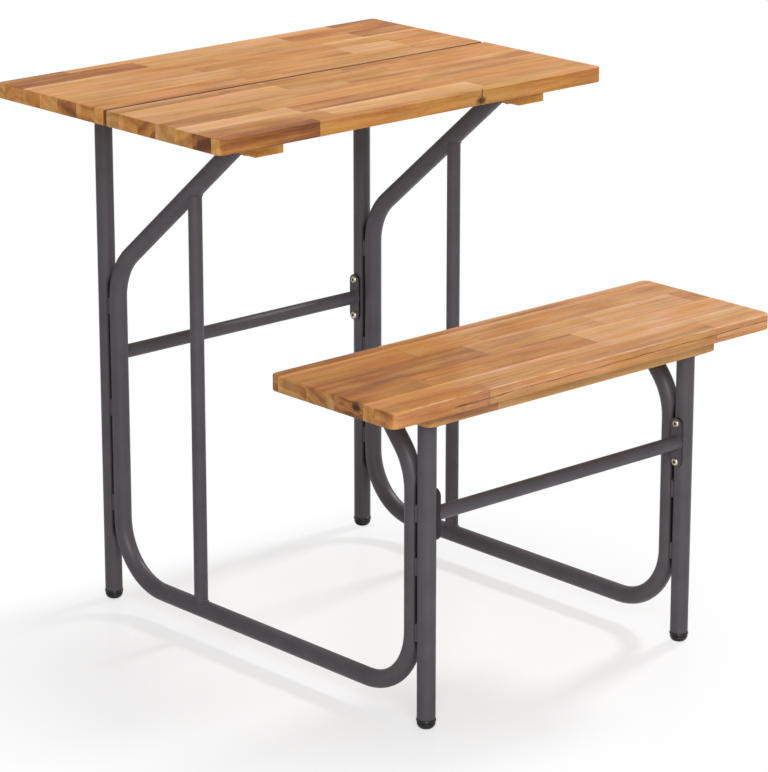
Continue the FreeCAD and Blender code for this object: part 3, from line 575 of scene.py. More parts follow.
def stave_at(tree, node, point, end):
    """The stave under a point, the place across its row, and a mask of the glue lines."""
    here = place_group(tree, plans[node], {"Point": point})
    aside = vector_calc(tree, "ADD", point, GLUE_LINE)["Vector"]
    there = place_group(tree, plans[node], {"Point": aside})
    apart = vector_calc(tree, "DISTANCE", here["Stave"], there["Stave"])["Value"]
    joint = calc(tree, "GREATER_THAN", apart, SAME_STAVE)
    stave = here["Stave"]
    if node in end_plans:
        # A sawn end has a tone of its own, but the rings run on from the faces.
        sawn = place_group(tree, end_plans[node], {"Point": point})["Stave"]
        tone, lot, other_lot = split(tree, stave)
        tone = mix(tree, "FLOAT", end, tone, split(tree, sawn)["X"])
        stave = add(tree, "ShaderNodeCombineXYZ", [tone, lot, other_lot]).outputs[0]
    return stave, here["Across"], joint


for board in plans:
    low, high = (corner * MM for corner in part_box(board))
    print(board, "measures", [round(side) for side in high - low], "mm")

# %% [markdown]
# ## Marks of single boards
# Wood that has been used shows more than its grain. The front edge of the table has a check, a split that
# starts at a knot, and the edges at the gap between the table boards get painted shade, since little light
# reaches down there. A check could be cut into the mesh, but it is so fine that a dark line about a wavy
# path, kept to one face, looks the same.

# %% Knots, painted shade at the gap, and check
KNOT_AND_GAP_SHADE_BROWN, CRACK_BROWN = linear(62, 36, 25), linear(70, 40, 22)
# Centre in mm, radius, flatness and strength of each knot.
WOOD_KNOTS = {
    "table_board_front": (((465.0, 241.0, 7.0), 8.0, 1.0, 0.9), ((253.0, 9.0, 22.0), 9.0, 1.0, 0.35)),
    "bench_seat": (((129.0, 156.0, 22.0), 3.0, 1.0, 0.6), ((0.0, 170.5, 15.5), 14.0, 1.5, 1.0),
                   ((0.0, 143.0, 14.0), 9.0, 2.2, 0.5), ((0.0, 158.0, 4.5), 12.0, 4.0, 0.6)),
}
# Where the painted shade along the gap between the table boards begins and is full.
GAP_SHADE_EDGES = {"table_board_rear": (238.6, 239.6), "table_board_front": (1.4, 0.4)}
GAP_SHADE = 0.75
CHECK_PLACE, CHECK_SLANT, CHECK_FACE = 466.0, -0.25, 236.0
CHECK_WAVE, CHECK_CLOUDS = 6.0, (0.0, 0.0, 0.12)
CHECK_EDGES, CHECK_SHADE = (2.0, 0.6), 0.75


def thin_line(tree, value, middle, start, end):
    """1 where the value is near the middle, and 0 farther off than start."""
    return slope(tree, calc(tree, "ABSOLUTE", calc(tree, "SUBTRACT", value, middle)), start, end)


def knots_and_gap_shade(tree, node, point, colour):
    """Knots, and painted shade on the edges at the gap, which little light reaches."""
    for centre, radius, flatness, strength in WOOD_KNOTS.get(node, ()):
        mask = place_group(tree, knot, {
            "Point": point, "Centre": centre, "Radius": radius, "Flatness": flatness})["Mask"]
        colour = mix(tree, "RGBA", product(tree, mask, strength), colour, KNOT_AND_GAP_SHADE_BROWN)
    # Painted shade: the edges along the gap between the table boards turn dark brown.
    if node in GAP_SHADE_EDGES:
        painted_gap_shade = slope(tree, split(tree, point)["Y"], *GAP_SHADE_EDGES[node], 0.0, GAP_SHADE)
        colour = mix(tree, "RGBA", painted_gap_shade, colour, KNOT_AND_GAP_SHADE_BROWN)
    return colour


def front_check(tree, point, colour):
    """The split in the front edge of the table, from top to bottom."""
    spot = split(tree, point)
    wave = noise(tree, point, CHECK_CLOUDS, detail=3.0)
    place = weigh(tree, (1.0, spot["X"]), (CHECK_SLANT, spot["Z"]), (CHECK_WAVE, wave))
    line = thin_line(tree, place, CHECK_PLACE, *CHECK_EDGES)
    on_face = calc(tree, "GREATER_THAN", spot["Y"], CHECK_FACE)
    return mix(tree, "RGBA", product(tree, line, on_face, CHECK_SHADE), colour, CRACK_BROWN)


print(sum(map(len, WOOD_KNOTS.values())), "knots, and one check at", CHECK_PLACE, "mm")

# %% [markdown]
# The seat carries painted light as well as marks. On top, its left part is darker and deeper in colour: a
# painted reflection of the table, which takes away the sheen there. Its front edge gets a painted pale sheen,
# and a broken painted highlight runs where it rounds into the top. A fine shake, a crack along the grain,
# runs half way down that edge. The part of the normal along an axis tells which way a face looks.

# %% Marks of the seat
# The part of the normal at which a face begins to look along an axis, and at which it fully does.
FACING = (0.5, 0.9)
# Places, heights and widths are in mm, and clouds are counted in 1 mm.
# Painted light on the seat: a painted reflection of the table darkens the left part of the top, a painted
# sheen pales the front edge, and a painted highlight runs along the rounded arris.
TABLE_REFLECTION_SLANT, TABLE_REFLECTION_EDGE = 0.74, (345.0, 285.0)
TABLE_REFLECTION_TINT = (0.89, 0.79, 0.52, 1.0)
FRONT_SHEEN_TINT = (1.14, 1.12, 1.45, 1.0)
ARRIS_HIGHLIGHT = linear(242, 216, 180)
ROUNDS_UP, ROUNDS_FORWARD = (0.3, 0.5), (0.2, 0.4)
HIGHLIGHT_CLOUDS, HIGHLIGHT_EDGES, HIGHLIGHT_SHARE = (0.02, 0.0, 0.0), (0.40, 0.60), 0.35
SHAKE_HEIGHT, SHAKE_SLANT, SHAKE_FACE = 11.5, -0.006, 234.0
SHAKE_WAVE, SHAKE_CLOUDS = 5.0, (0.01, 0.0, 0.0)
SHAKE_START, SHAKE_NARROWS = (103.0, 108.0), (130.0, 230.0)
SHAKE_WIDTHS, SHAKE_CORE = (1.7, 0.8), 0.3
FADE_CLOUDS, FADE_EDGES, FADE_SHADES = (0.03, 0.0, 0.0), (0.35, 0.60), (0.35, 0.85)


def faces(tree, part):
    """1 on a face that looks along an axis, for that part of its normal, and 0 on one that looks aside."""
    return slope(tree, part, *FACING)


def seat_marks(tree, point, normal, colour):
    """The painted reflection of the table on the top, the painted sheen and highlight on the front edge, and
    the shake of the seat.
    """
    spot = split(tree, point)
    forward = calc(tree, "MULTIPLY", normal["Y"], -1.0)
    # Painted reflection: the left part of the top is darker, where the seat mirrors the table instead of the
    # white around it.
    table_reflection = slope(tree, weigh(tree, (1.0, spot["X"]), (TABLE_REFLECTION_SLANT, spot["Y"])), *TABLE_REFLECTION_EDGE)
    colour = tint(tree, product(tree, table_reflection, faces(tree, normal["Z"])), colour, TABLE_REFLECTION_TINT)
    # Painted sheen: faces that look forward are made paler and greyer.
    colour = tint(tree, faces(tree, forward), colour, FRONT_SHEEN_TINT)
    # Painted highlight along the arris where the front edge rounds into the top, broken by clouds.
    rounding = product(tree, slope(tree, normal["Z"], *ROUNDS_UP), slope(tree, forward, *ROUNDS_FORWARD))
    highlight_strength = slope(tree, noise(tree, point, HIGHLIGHT_CLOUDS, detail=3.0), *HIGHLIGHT_EDGES, 0.0, HIGHLIGHT_SHARE)
    colour = mix(tree, "RGBA", product(tree, rounding, highlight_strength), colour, ARRIS_HIGHLIGHT)
    wave = noise(tree, point, SHAKE_CLOUDS, detail=3.0)
    height = weigh(tree, (1.0, spot["Z"]), (SHAKE_WAVE, wave), (SHAKE_SLANT, spot["X"]))
    gape = slope(tree, spot["X"], *SHAKE_NARROWS, *SHAKE_WIDTHS)
    line = thin_line(tree, height, SHAKE_HEIGHT, gape, SHAKE_CORE)
    begun = slope(tree, spot["X"], *SHAKE_START)
    on_face = calc(tree, "GREATER_THAN", spot["Y"], SHAKE_FACE)
    faint = slope(tree, noise(tree, point, FADE_CLOUDS), *FADE_EDGES, *FADE_SHADES)
    return mix(tree, "RGBA", product(tree, line, begun, on_face, faint), colour, CRACK_BROWN)


print("one shake,", SHAKE_HEIGHT, "mm above the underside of the seat")

# %% [markdown]
# ## Oiled wood for each board
# Now each board gets its material. A face whose normal points along the grain is a sawn end. Oil leaves a
# soft sheen, not a varnish gloss, so the shader's specular level stays low, and the fibre gives the surface a
# relief of a fraction of a millimetre. A tint for each large board was found by comparing its faces with the
# picture: the seat and the board under it are greyer than the table. One more tint makes the upper faces
# paler and less yellow than the edges; it is a painted sheen, the white around mirrored in the tops.

# %% Wood materials
WOOD_TINTS = {
    "table_board_rear": (0.99, 1.0, 1.25, 1.0),
    "table_board_front": (0.97, 1.0, 1.25, 1.0),
    "bench_seat": (0.90, 0.95, 1.32, 1.0),
    "bench_under_board": (0.93, 1.07, 2.00, 1.0),
}
# A painted sheen on the upper faces: paler and less yellow.
TOP_SHEEN_TINT = (1.03, 1.035, 1.34, 1.0)
WOOD_GLOSS = 0.34
FIBRE_RELIEF, FIBRE_STRENGTH = 0.00025, 0.35


def dress(names, material):
    """Give pieces of the solid model a material."""
    for name in names:
        nodes[name].material_slots[0].material = material


def oiled_wood(node):
    """The material of one wooden piece."""
    along_y = "cleat" in node
    material, tree, shader = new_material("oiled_wood_" + node)
    point = board_point(tree, node, along_y)
    normal = split(tree, surface_normal(tree))
    end = faces(tree, calc(tree, "ABSOLUTE", normal["Y" if along_y else "X"]))
    stave, across, joint = stave_at(tree, node, point, end)
    wood = place_group(tree, figure, {
        "Point": point, "Stave": stave, "Across": across, "Joint": joint, "End": end})
    colour = wood["Color"]
    if node in WOOD_TINTS:
        colour = tint(tree, 1.0, colour, WOOD_TINTS[node])
    # Painted sheen: faces that look up are tinted paler and bluer.
    colour = tint(tree, faces(tree, normal["Z"]), colour, TOP_SHEEN_TINT)
    colour = knots_and_gap_shade(tree, node, point, colour)
    if node == "table_board_front":
        colour = front_check(tree, point, colour)
    if node == "bench_seat":
        colour = seat_marks(tree, point, normal, colour)
    feed(tree, shader["Base Color"], colour)
    feed(tree, shader["Roughness"], wood["Roughness"])
    feed(tree, shader["Normal"], bump(tree, wood["Relief"], FIBRE_RELIEF, FIBRE_STRENGTH))
    shader["Specular IOR Level"].default_value = WOOD_GLOSS
    return material


for node in plans:
    dress([node], oiled_wood(node))
print("oiled:", ", ".join(plans))

# %% [markdown]
# ## Powder coat on the steel
# The tubes are sprayed with dry powder and baked. The film is dark grey, satin, and very slightly
# dimpled like the skin of an orange, with a fleck here and there. The dimples and flecks are one group,
# because the plastic caps and the plated screws have a grain too, only at another scale.

# %% A group for fine surface grain
# A dimple is 1 grain wide. Flecks are smaller and clouds much larger: how many fit in one grain.
FLECK_SCALE, FLECK_EDGES, CLOUD_SCALE = 2.3, (0.66, 0.74), 0.03
FLECK_SHARE, DIMPLE_STRENGTH = 0.3, 0.5


def surface_grain():
    """Group: fleck, cloud and dimple of a finish. Grain is the size of a dimple in millimetres."""
    tree, given, wanted = new_group("surface_grain", {"Point": "Vector", "Grain": "Float"},
                                    {"Fleck": "Float", "Cloud": "Float", "Dimple": "Float"})
    dimples_per_metre = calc(tree, "DIVIDE", MM, given["Grain"])
    scaled = add(tree, "ShaderNodeVectorMath", {"Vector": given["Point"], "Scale": dimples_per_metre},
                 operation="SCALE").outputs["Vector"]
    flecks = noise(tree, scaled, [FLECK_SCALE] * 3, detail=0.0)
    feed(tree, wanted["Fleck"], slope(tree, flecks, *FLECK_EDGES))
    feed(tree, wanted["Cloud"], noise(tree, scaled, [CLOUD_SCALE] * 3, detail=3.0))
    feed(tree, wanted["Dimple"], noise(tree, scaled, [1.0] * 3, detail=1.0))
    return tree


grain = surface_grain()


def grained(name, size, colours, roughness, relief):
    """A material whose colour and gloss drift a little. Gives it with its tree, shader and colour."""
    material, tree, shader = new_material(name)
    skin = place_group(tree, grain, {"Point": object_point(tree), "Grain": size})
    drift = weigh(tree, (1.0, skin["Cloud"]), (FLECK_SHARE, skin["Fleck"]))
    colour = mix(tree, "RGBA", drift, *colours)
    feed(tree, shader["Base Color"], colour)
    feed(tree, shader["Roughness"], mix(tree, "FLOAT", skin["Cloud"], *roughness))
    feed(tree, shader["Normal"], bump(tree, skin["Dimple"], relief, DIMPLE_STRENGTH))
    return material, tree, shader, colour


print("the surface grain has", len(grain.nodes), "nodes")

# %% [markdown]
# The coat is one recipe for all the steel. Its grey drifts between two near tones, so that a long tube
# isn't a single flat colour. The specular level is below the usual one because the powder is pigmented
# right up to its surface and shows only a broad, soft highlight on the bends.

# %% Powder-coated steel
COAT_GREYS = linear(67, 64, 68), linear(85, 81, 86)
COAT_ROUGHNESS = 0.50, 0.38
COAT_DIMPLE, COAT_RELIEF, COAT_GLOSS = 1.1, 0.00006, 0.30


def coat(name):
    """Powder coat under a name of its own. Gives it with its tree, shader and colour."""
    material, tree, shader, grey = grained(name, COAT_DIMPLE, COAT_GREYS, COAT_ROUGHNESS, COAT_RELIEF)
    shader["Specular IOR Level"].default_value = COAT_GLOSS
    return material, tree, shader, grey


def pieces_of(slot):
    """The pieces of the solid model that are made of one material."""
    return [part["node"] for part in frame["record"]["subparts"] if part["material_slot"] == slot]


powder_coat, *_ = coat("powder_coat")
steel_nodes = pieces_of("powder_coated_steel")
dress(steel_nodes, powder_coat)
print(len(steel_nodes), "pieces powder coated")

# %% [markdown]
# The plates at the ends of the cross bars are cut from sheet. In the picture their cut edges look almost
# black beside the flat: a flat plate on a round leg leaves a gap there that light hardly reaches, and that
# black is painted shade. A cut edge is where the normal turns away from the bar, which runs along X, so a
# mask made from the normal is enough and no second piece is needed.

# %% End plates with painted shade on their edges
EDGE_SHADE_BLACK, EDGE_SHADE = linear(12, 12, 13), 0.85
CUT_EDGE = (0.95, 0.6)


def paint_shade(tree, shader, colour, mask, dark):
    """Paint shade: let a dark colour take over the base colour where the mask is 1."""
    feed(tree, shader["Base Color"], mix(tree, "RGBA", mask, colour, dark))


plate_edge_shade_coat, tree, shader, grey = coat("plate_edge_shade_coat")
# Painted shade: the cut edges of the plates turn almost black.
along_bar = calc(tree, "ABSOLUTE", split(tree, surface_normal(tree))["X"])
paint_shade(tree, shader, grey, slope(tree, along_bar, *CUT_EDGE, 0.0, EDGE_SHADE), EDGE_SHADE_BLACK)
plate_nodes = [node for node in steel_nodes if "_bar_plate_" in node]
dress(plate_nodes, plate_edge_shade_coat)
print(len(plate_nodes), "plates with dark edges")

# %% [markdown]
# Each leg touches the bent tube beside it along a line. Little light gets into the groove between the two, so
# painted shade runs down between them as a dark line. The mask is the distance from the touching line, and it
# fades out where the tube bends away from the leg. The short welds in the groove stay grey.

# %% Painted shade in the grooves between legs and tubes
GROOVE_SHADE_BLACK = linear(14, 13, 15)
GROOVE_WIDTH = (0.0045, 0.0015)
GROOVE_FOOT, GROOVE_TOPS = 0.11, {"table": 0.47, "bench": 0.335}
GROOVE_FADE = 0.02

groove_shade_coat, tree, shader, grey = coat("groove_shade_coat")
spot = split(tree, object_point(tree))
groove_shade = 0.0
for end, touching in (("table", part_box("table_leg_left")[0].y), ("bench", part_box("bench_leg_left")[1].y)):
    above_foot = slope(tree, spot["Z"], GROOVE_FOOT - GROOVE_FADE, GROOVE_FOOT)
    below_top = slope(tree, spot["Z"], GROOVE_TOPS[end] + GROOVE_FADE, GROOVE_TOPS[end])
    # Painted shade down the groove where the leg and the tube touch.
    line = thin_line(tree, spot["Y"], touching, *GROOVE_WIDTH)
    groove_shade = calc(tree, "MAXIMUM", groove_shade, product(tree, line, above_foot, below_top))
paint_shade(tree, shader, grey, groove_shade, GROOVE_SHADE_BLACK)
groove_nodes = [f"{name}_{side}" for name in ("table_leg", "bench_leg", "side_tube")
                for side in ("left", "right")]
dress(groove_nodes, groove_shade_coat)
print("grooves beside", ", ".join(groove_nodes))

# %% [markdown]
# ## Zinc plate and black plastic
# The bolts and screws are zinc plated: bright metal with a cloudy, slightly warm bloom. The feet are
# moulded caps of black plastic, smoother than the powder coat, so that they catch a small clear
# highlight on their domes.

# %% Zinc and plastic
ZINC_GRAIN, PLASTIC_GRAIN, SMOOTH_RELIEF = 0.5, 0.8, 0.00002
ZINC_COLOURS, ZINC_ROUGHNESS = (linear(150, 148, 142), linear(226, 222, 208)), (0.42, 0.26)
PLASTIC_COLOURS, PLASTIC_ROUGHNESS = (linear(14, 14, 15), linear(25, 25, 26)), (0.34, 0.22)


def zinc_plate(name, colours, roughness):
    """Plated metal under a name of its own. Gives it with its tree, shader and colour."""
    material, tree, shader, colour = grained(name, ZINC_GRAIN, colours, roughness, SMOOTH_RELIEF)
    shader["Metallic"].default_value = 1.0
    return material, tree, shader, colour


zinc, *_ = zinc_plate("zinc_plate", ZINC_COLOURS, ZINC_ROUGHNESS)
plastic, *_ = grained("black_plastic", PLASTIC_GRAIN, PLASTIC_COLOURS, PLASTIC_ROUGHNESS, SMOOTH_RELIEF)
for slot, finish in (("zinc_plated_steel", zinc), ("foot_plastic", plastic)):
    dress(pieces_of(slot), finish)
    print(slot, "on", ", ".join(pieces_of(slot)))

# %% [markdown]
# The bolts that hold the cross bars have round heads with a hexagon socket. In the picture each head is a
# bright ring round a dark hole, because light hardly gets into the socket, and that dark is painted shade.
# The bolts sit in pairs, half a pitch above and below the middle of their plate. Measuring from there gives
# the distance from the nearest bolt's axis, and painted shade fills the socket's radius.

# %% Painted shade in the sockets of the bolt heads
BOLT_PITCH = 0.055
SOCKET_RADIUS, SOCKET_BLUR = 0.0022, 0.1
SOCKET_SHADE_BLACK, SOCKET_SHADE = linear(34, 33, 33), 0.95
BRIGHT_COLOURS, BRIGHT_ROUGHNESS = (linear(196, 191, 174), linear(234, 228, 208)), (0.42, 0.30)


def middle(node):
    """The centre of a piece of the solid model."""
    low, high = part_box(node)
    return (low + high) / 2


bolt_zinc_socket_shade, tree, shader, bright = zinc_plate("zinc_bolt_socket_shade", BRIGHT_COLOURS, BRIGHT_ROUGHNESS)
point = object_point(tree)
at_table = calc(tree, "GREATER_THAN", split(tree, point)["Y"], 0.0)
plate = mix(tree, "VECTOR", at_table, middle("bench_bar_plate_left"), middle("table_bar_plate_left"))
away = split(tree, vector_calc(tree, "SUBTRACT", point, plate)["Vector"])
from_bolt = calc(tree, "SUBTRACT", calc(tree, "ABSOLUTE", away["Z"]), BOLT_PITCH / 2)
rim = SOCKET_RADIUS * (1 + SOCKET_BLUR), SOCKET_RADIUS * (1 - SOCKET_BLUR)
# Painted shade inside each socket, which light hardly reaches.
socket = slope(tree, from_axis(tree, away["Y"], from_bolt), *rim, 0.0, SOCKET_SHADE)
paint_shade(tree, shader, bright, socket, SOCKET_SHADE_BLACK)
dress(["cross_bar_bolts"], bolt_zinc_socket_shade)
print(f"bolts {BOLT_PITCH * MM:.0f} mm apart, sockets {2 * SOCKET_RADIUS * MM:.1f} mm wide")

# %% [markdown]
# ## Weld seams
# Where a tube ends on another one, the welder runs a bead round the joint, and each pause of the torch
# leaves a small ripple. The path is known exactly: it is the curve where two tubes meet, or a ring on a
# plate. So the first step is to work out these rings from the sizes of the tubes.

# %% Where the tubes meet
TUBE_RADIUS = 0.0125
THIN_RADIUS = (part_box("strut_left")[1].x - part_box("strut_left")[0].x) / 2
BRACE_SLOPE = radians(40)
PROP_LEAN = radians(41)
BRACE_TOP_Y, PROP_TOP_Y = 0.027, -0.271
RING_POINTS = 48


def ring(centre, place):
    """Points round a joint: place gives the offset from the centre for an angle."""
    return [centre + Vector(place(2 * pi * i / RING_POINTS)) for i in range(RING_POINTS)]


def on_tube(up, slant):
    """Ring where a thin upright tube stands on a tube along Y (up is 1) or ends under it (up is -1)."""
    def place(angle):
        x, y = THIN_RADIUS * cos(angle), THIN_RADIUS * sin(angle)
        return x, y, (up * sqrt(TUBE_RADIUS ** 2 - x ** 2) - y * sin(slant)) / cos(slant)
    return place


def on_flange(stretch):
    """Ring round a tube under a level flange; a slanting tube makes it longer along Y."""
    return lambda angle: (TUBE_RADIUS * cos(angle), TUBE_RADIUS * stretch * sin(angle), 0.0)


def on_plate(angle):
    """Ring round a cross bar on its upright plate."""
    return 0.0, THIN_RADIUS * cos(angle), THIN_RADIUS * sin(angle)


def seam_paths():
    """Every welded ring of the frame."""
    run_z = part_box("side_tube_left")[0].z + TUBE_RADIUS
    paths = []
    for side in ("left", "right"):
        strut = middle("strut_" + side)
        paths.append(ring(Vector((strut.x, strut.y, run_z)), on_tube(1, 0.0)))
        brace_top = Vector((strut.x, BRACE_TOP_Y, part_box("brace_flange_" + side)[0].z))
        meeting_z = brace_top.z - (strut.y - BRACE_TOP_Y) * tan(BRACE_SLOPE)
        paths.append(ring(Vector((strut.x, strut.y, meeting_z)), on_tube(-1, BRACE_SLOPE)))
        paths.append(ring(brace_top, on_flange(1 / sin(BRACE_SLOPE))))
        prop_top = Vector((strut.x, PROP_TOP_Y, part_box("prop_flange_" + side)[0].z))
        paths.append(ring(prop_top, on_flange(1 / cos(PROP_LEAN))))
        for end in ("table", "bench"):
            leg = middle(f"{end}_leg_{side}")
            leg.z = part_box(f"{end}_leg_flange_{side}")[0].z
            paths.append(ring(leg, on_flange(1)))
            bar_end = middle(f"{end}_cross_bar")
            bar_end.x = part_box(f"{end}_cross_bar")[side == "right"].x
            paths.append(ring(bar_end, on_plate))
    return paths


seams = seam_paths()
print(len(seams), "welded joints, thin tube radius", round(THIN_RADIUS * MM, 2), "mm")

# %% [markdown]
# A bead could be modelled on each ring by hand, but a Geometry Nodes tree can follow any path, so one tree
# makes all the seams: it turns the path into a curve, lets a radius swell and shrink in step with the
# length travelled, and sweeps a small circle along with that radius. Its result is kept as a plain mesh.

# %% A tree that lays a weld bead along a path
STEPS_PER_RIPPLE = 6
BEAD_SIDES = 8


def waves(tree, length):
    """Sine wave along a curve, with one wave for each given length."""
    travelled = add(tree, "GeometryNodeSplineParameter").outputs["Length"]
    return calc(tree, "SINE", product(tree, calc(tree, "DIVIDE", travelled, length), 2 * pi))


def sweep(tree, path, sides, radius, fill_caps=False):
    """A round bar along a curve, with a radius that may vary."""
    section = add(tree, "GeometryNodeCurvePrimitiveCircle", {"Resolution": sides, "Radius": 1.0})
    sources = {"Curve": path, "Profile Curve": section.outputs["Curve"], "Scale": radius,
               "Fill Caps": fill_caps}
    return add(tree, "GeometryNodeCurveToMesh", sources).outputs[0]


def resample(tree, curve, length, steps):
    """The curve with points at even steps, so many to each length."""
    step = calc(tree, "DIVIDE", length, steps)
    return add(tree, "GeometryNodeResampleCurve", {"Curve": curve, "Length": step}, mode="LENGTH").outputs[0]


def hand_over(tree, output, geometry, finish):
    """End a tree: copies become real faces, and all faces get the finish."""
    real = add(tree, "GeometryNodeRealizeInstances", {"Geometry": geometry}).outputs[0]
    finished = add(tree, "GeometryNodeSetMaterial", {"Geometry": real, "Material": finish})
    feed(tree, output, finished.outputs[0])


def weld_bead_tree():
    """Geometry Nodes: sweeps a rippled bead along the edges of a mesh."""
    inputs = {"Path": "Geometry", "Bead Radius": "Float", "Ripple Length": "Float", "Ripple Depth": "Float",
              "Finish": "Material"}
    tree, given, wanted = new_group("weld_bead", inputs, {"Bead": "Geometry"}, "GeometryNodeTree")
    path = add(tree, "GeometryNodeMeshToCurve", {"Mesh": given["Path"]}).outputs[0]
    path = resample(tree, path, given["Ripple Length"], STEPS_PER_RIPPLE)
    swell = calc(tree, "MULTIPLY_ADD", waves(tree, given["Ripple Length"]), given["Ripple Depth"], 1.0)
    bead = sweep(tree, path, BEAD_SIDES, product(tree, swell, given["Bead Radius"]))
    bead = add(tree, "GeometryNodeSetShadeSmooth", {"Geometry": bead}).outputs[0]
    hand_over(tree, wanted["Bead"], bead, given["Finish"])
    return tree


def grow(name, start, tree, settings):
    """Run a Geometry Nodes tree on a mesh and keep the result as a plain mesh."""
    piece = put(name, start)
    grower = piece.modifiers.new("grow", "NODES")
    grower.node_group = tree
    for socket in tree.interface.items_tree:
        if socket.name in settings:
            grower[socket.identifier] = settings[socket.name]
    result = piece.evaluated_get(bpy.context.evaluated_depsgraph_get())
    mesh = bpy.data.meshes.new_from_object(result)
    piece.modifiers.remove(grower)
    piece.data = mesh
    mesh.name = name
    return piece


bead_tree = weld_bead_tree()
print("the weld bead has", len(bead_tree.nodes), "nodes")

# %% [markdown]
# All rings go into one mesh of points and edges, so a single run of the tree welds the whole frame. The
# seams are sprayed with the tubes, so they share the powder coat.

# %% Weld every joint
BEAD_RADIUS, RIPPLE_LENGTH, RIPPLE_DEPTH = 0.0014, 0.0024, 0.10

points = [point for seam in seams for point in seam]
edges = [(first + i, first + (i + 1) % RING_POINTS)
         for first in range(0, len(points), RING_POINTS) for i in range(RING_POINTS)]
seam_mesh = bpy.data.meshes.new("weld_paths")
seam_mesh.from_pydata(points, edges, [])
weld_seams = grow("weld_seams", seam_mesh, bead_tree, {
    "Bead Radius": BEAD_RADIUS, "Ripple Length": RIPPLE_LENGTH, "Ripple Depth": RIPPLE_DEPTH,
    "Finish": powder_coat})
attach(weld_seams, "root")
print("weld seams:", len(weld_seams.data.polygons), "faces")

# %% [markdown]
# ## Driven screws
# The wood is held by round-headed screws, driven from below where nobody looks, so their heads show only
# from underneath. The solid model has plain shanks. Here each screw gets a head with a cross recess and
# a threaded shank. The head is modelled face by face: rings of points for its dome, a cross for the mouth
# of the recess, a smaller cross for its floor, and a fill between the last ring and the mouth.

# %% One screw head with a cross recess
HEAD_RADIUS, HEAD_HEIGHT = 0.0040, 0.0025
HEAD_SIDES = 24
HEAD_PROFILE = ((1.0, 0.0), (1.0, 0.40), (0.93, 0.72), (0.78, 0.93))
CROSS_LENGTH, CROSS_WIDTH, CROSS_DEPTH = 0.0023, 0.00065, 0.0016
CROSS_TAPER = 0.7


def cross_outline():
    """Corners of an upright cross, one arm after the other."""
    corners = ((CROSS_LENGTH, -CROSS_WIDTH), (CROSS_LENGTH, CROSS_WIDTH), (CROSS_WIDTH, CROSS_WIDTH))
    outline = []
    for quarter in range(4):
        c, s = round(cos(quarter * pi / 2)), round(sin(quarter * pi / 2))
        outline += [(x * c - y * s, x * s + y * c) for x, y in corners]
    return outline


def bridge(form, first, second):
    """Faces between two closed loops with as many points each."""
    for i in range(len(first)):
        j = (i + 1) % len(first)
        form.faces.new((first[i], first[j], second[j], second[i]))


def loop_edges(form, loop):
    """The edges of a closed loop of points."""
    return [form.edges.get((loop[i - 1], loop[i])) for i in range(len(loop))]


def screw_head():
    """Head of a wood screw, hanging below z = 0, with a cross-shaped recess."""
    form = bmesh.new()
    angles = [2 * pi * i / HEAD_SIDES for i in range(HEAD_SIDES)]
    loops = []
    for reach, drop in HEAD_PROFILE:
        radius, z = HEAD_RADIUS * reach, -HEAD_HEIGHT * drop
        loops.append([form.verts.new((radius * cos(a), radius * sin(a), z)) for a in angles])
    form.faces.new(loops[0])
    for upper, lower in zip(loops, loops[1:]):
        bridge(form, upper, lower)
    outline = cross_outline()
    mouth = [form.verts.new((x, y, -HEAD_HEIGHT)) for x, y in outline]
    base = [form.verts.new((CROSS_TAPER * x, CROSS_TAPER * y, CROSS_DEPTH - HEAD_HEIGHT)) for x, y in outline]
    bridge(form, mouth, base)
    form.faces.new(base)
    rim = loop_edges(form, loops[-1]) + loop_edges(form, mouth)
    bmesh.ops.triangle_fill(form, use_beauty=True, edges=rim)
    bmesh.ops.recalc_face_normals(form, faces=form.faces)
    mesh = bpy.data.meshes.new("screw_head")
    form.to_mesh(mesh)
    form.free()
    return bpy.data.objects.new("screw_head", mesh)


head = screw_head()
print("screw head:", len(head.data.polygons), "faces")

# %% [markdown]
# A second tree adds the shank, swept like the weld bead with a radius that swells once for each turn of
# the thread and runs out to a point. It sets a copy of the whole screw on every point it is given, each
# stopped at another turn of the driver. That turn is random, with a seed that keeps it the same.

# %% A tree that drives screws
STEPS_PER_THREAD = 4
SHANK_SIDES = 10
THREAD_DEPTH = 0.14
BLUNT_TIP = 0.06


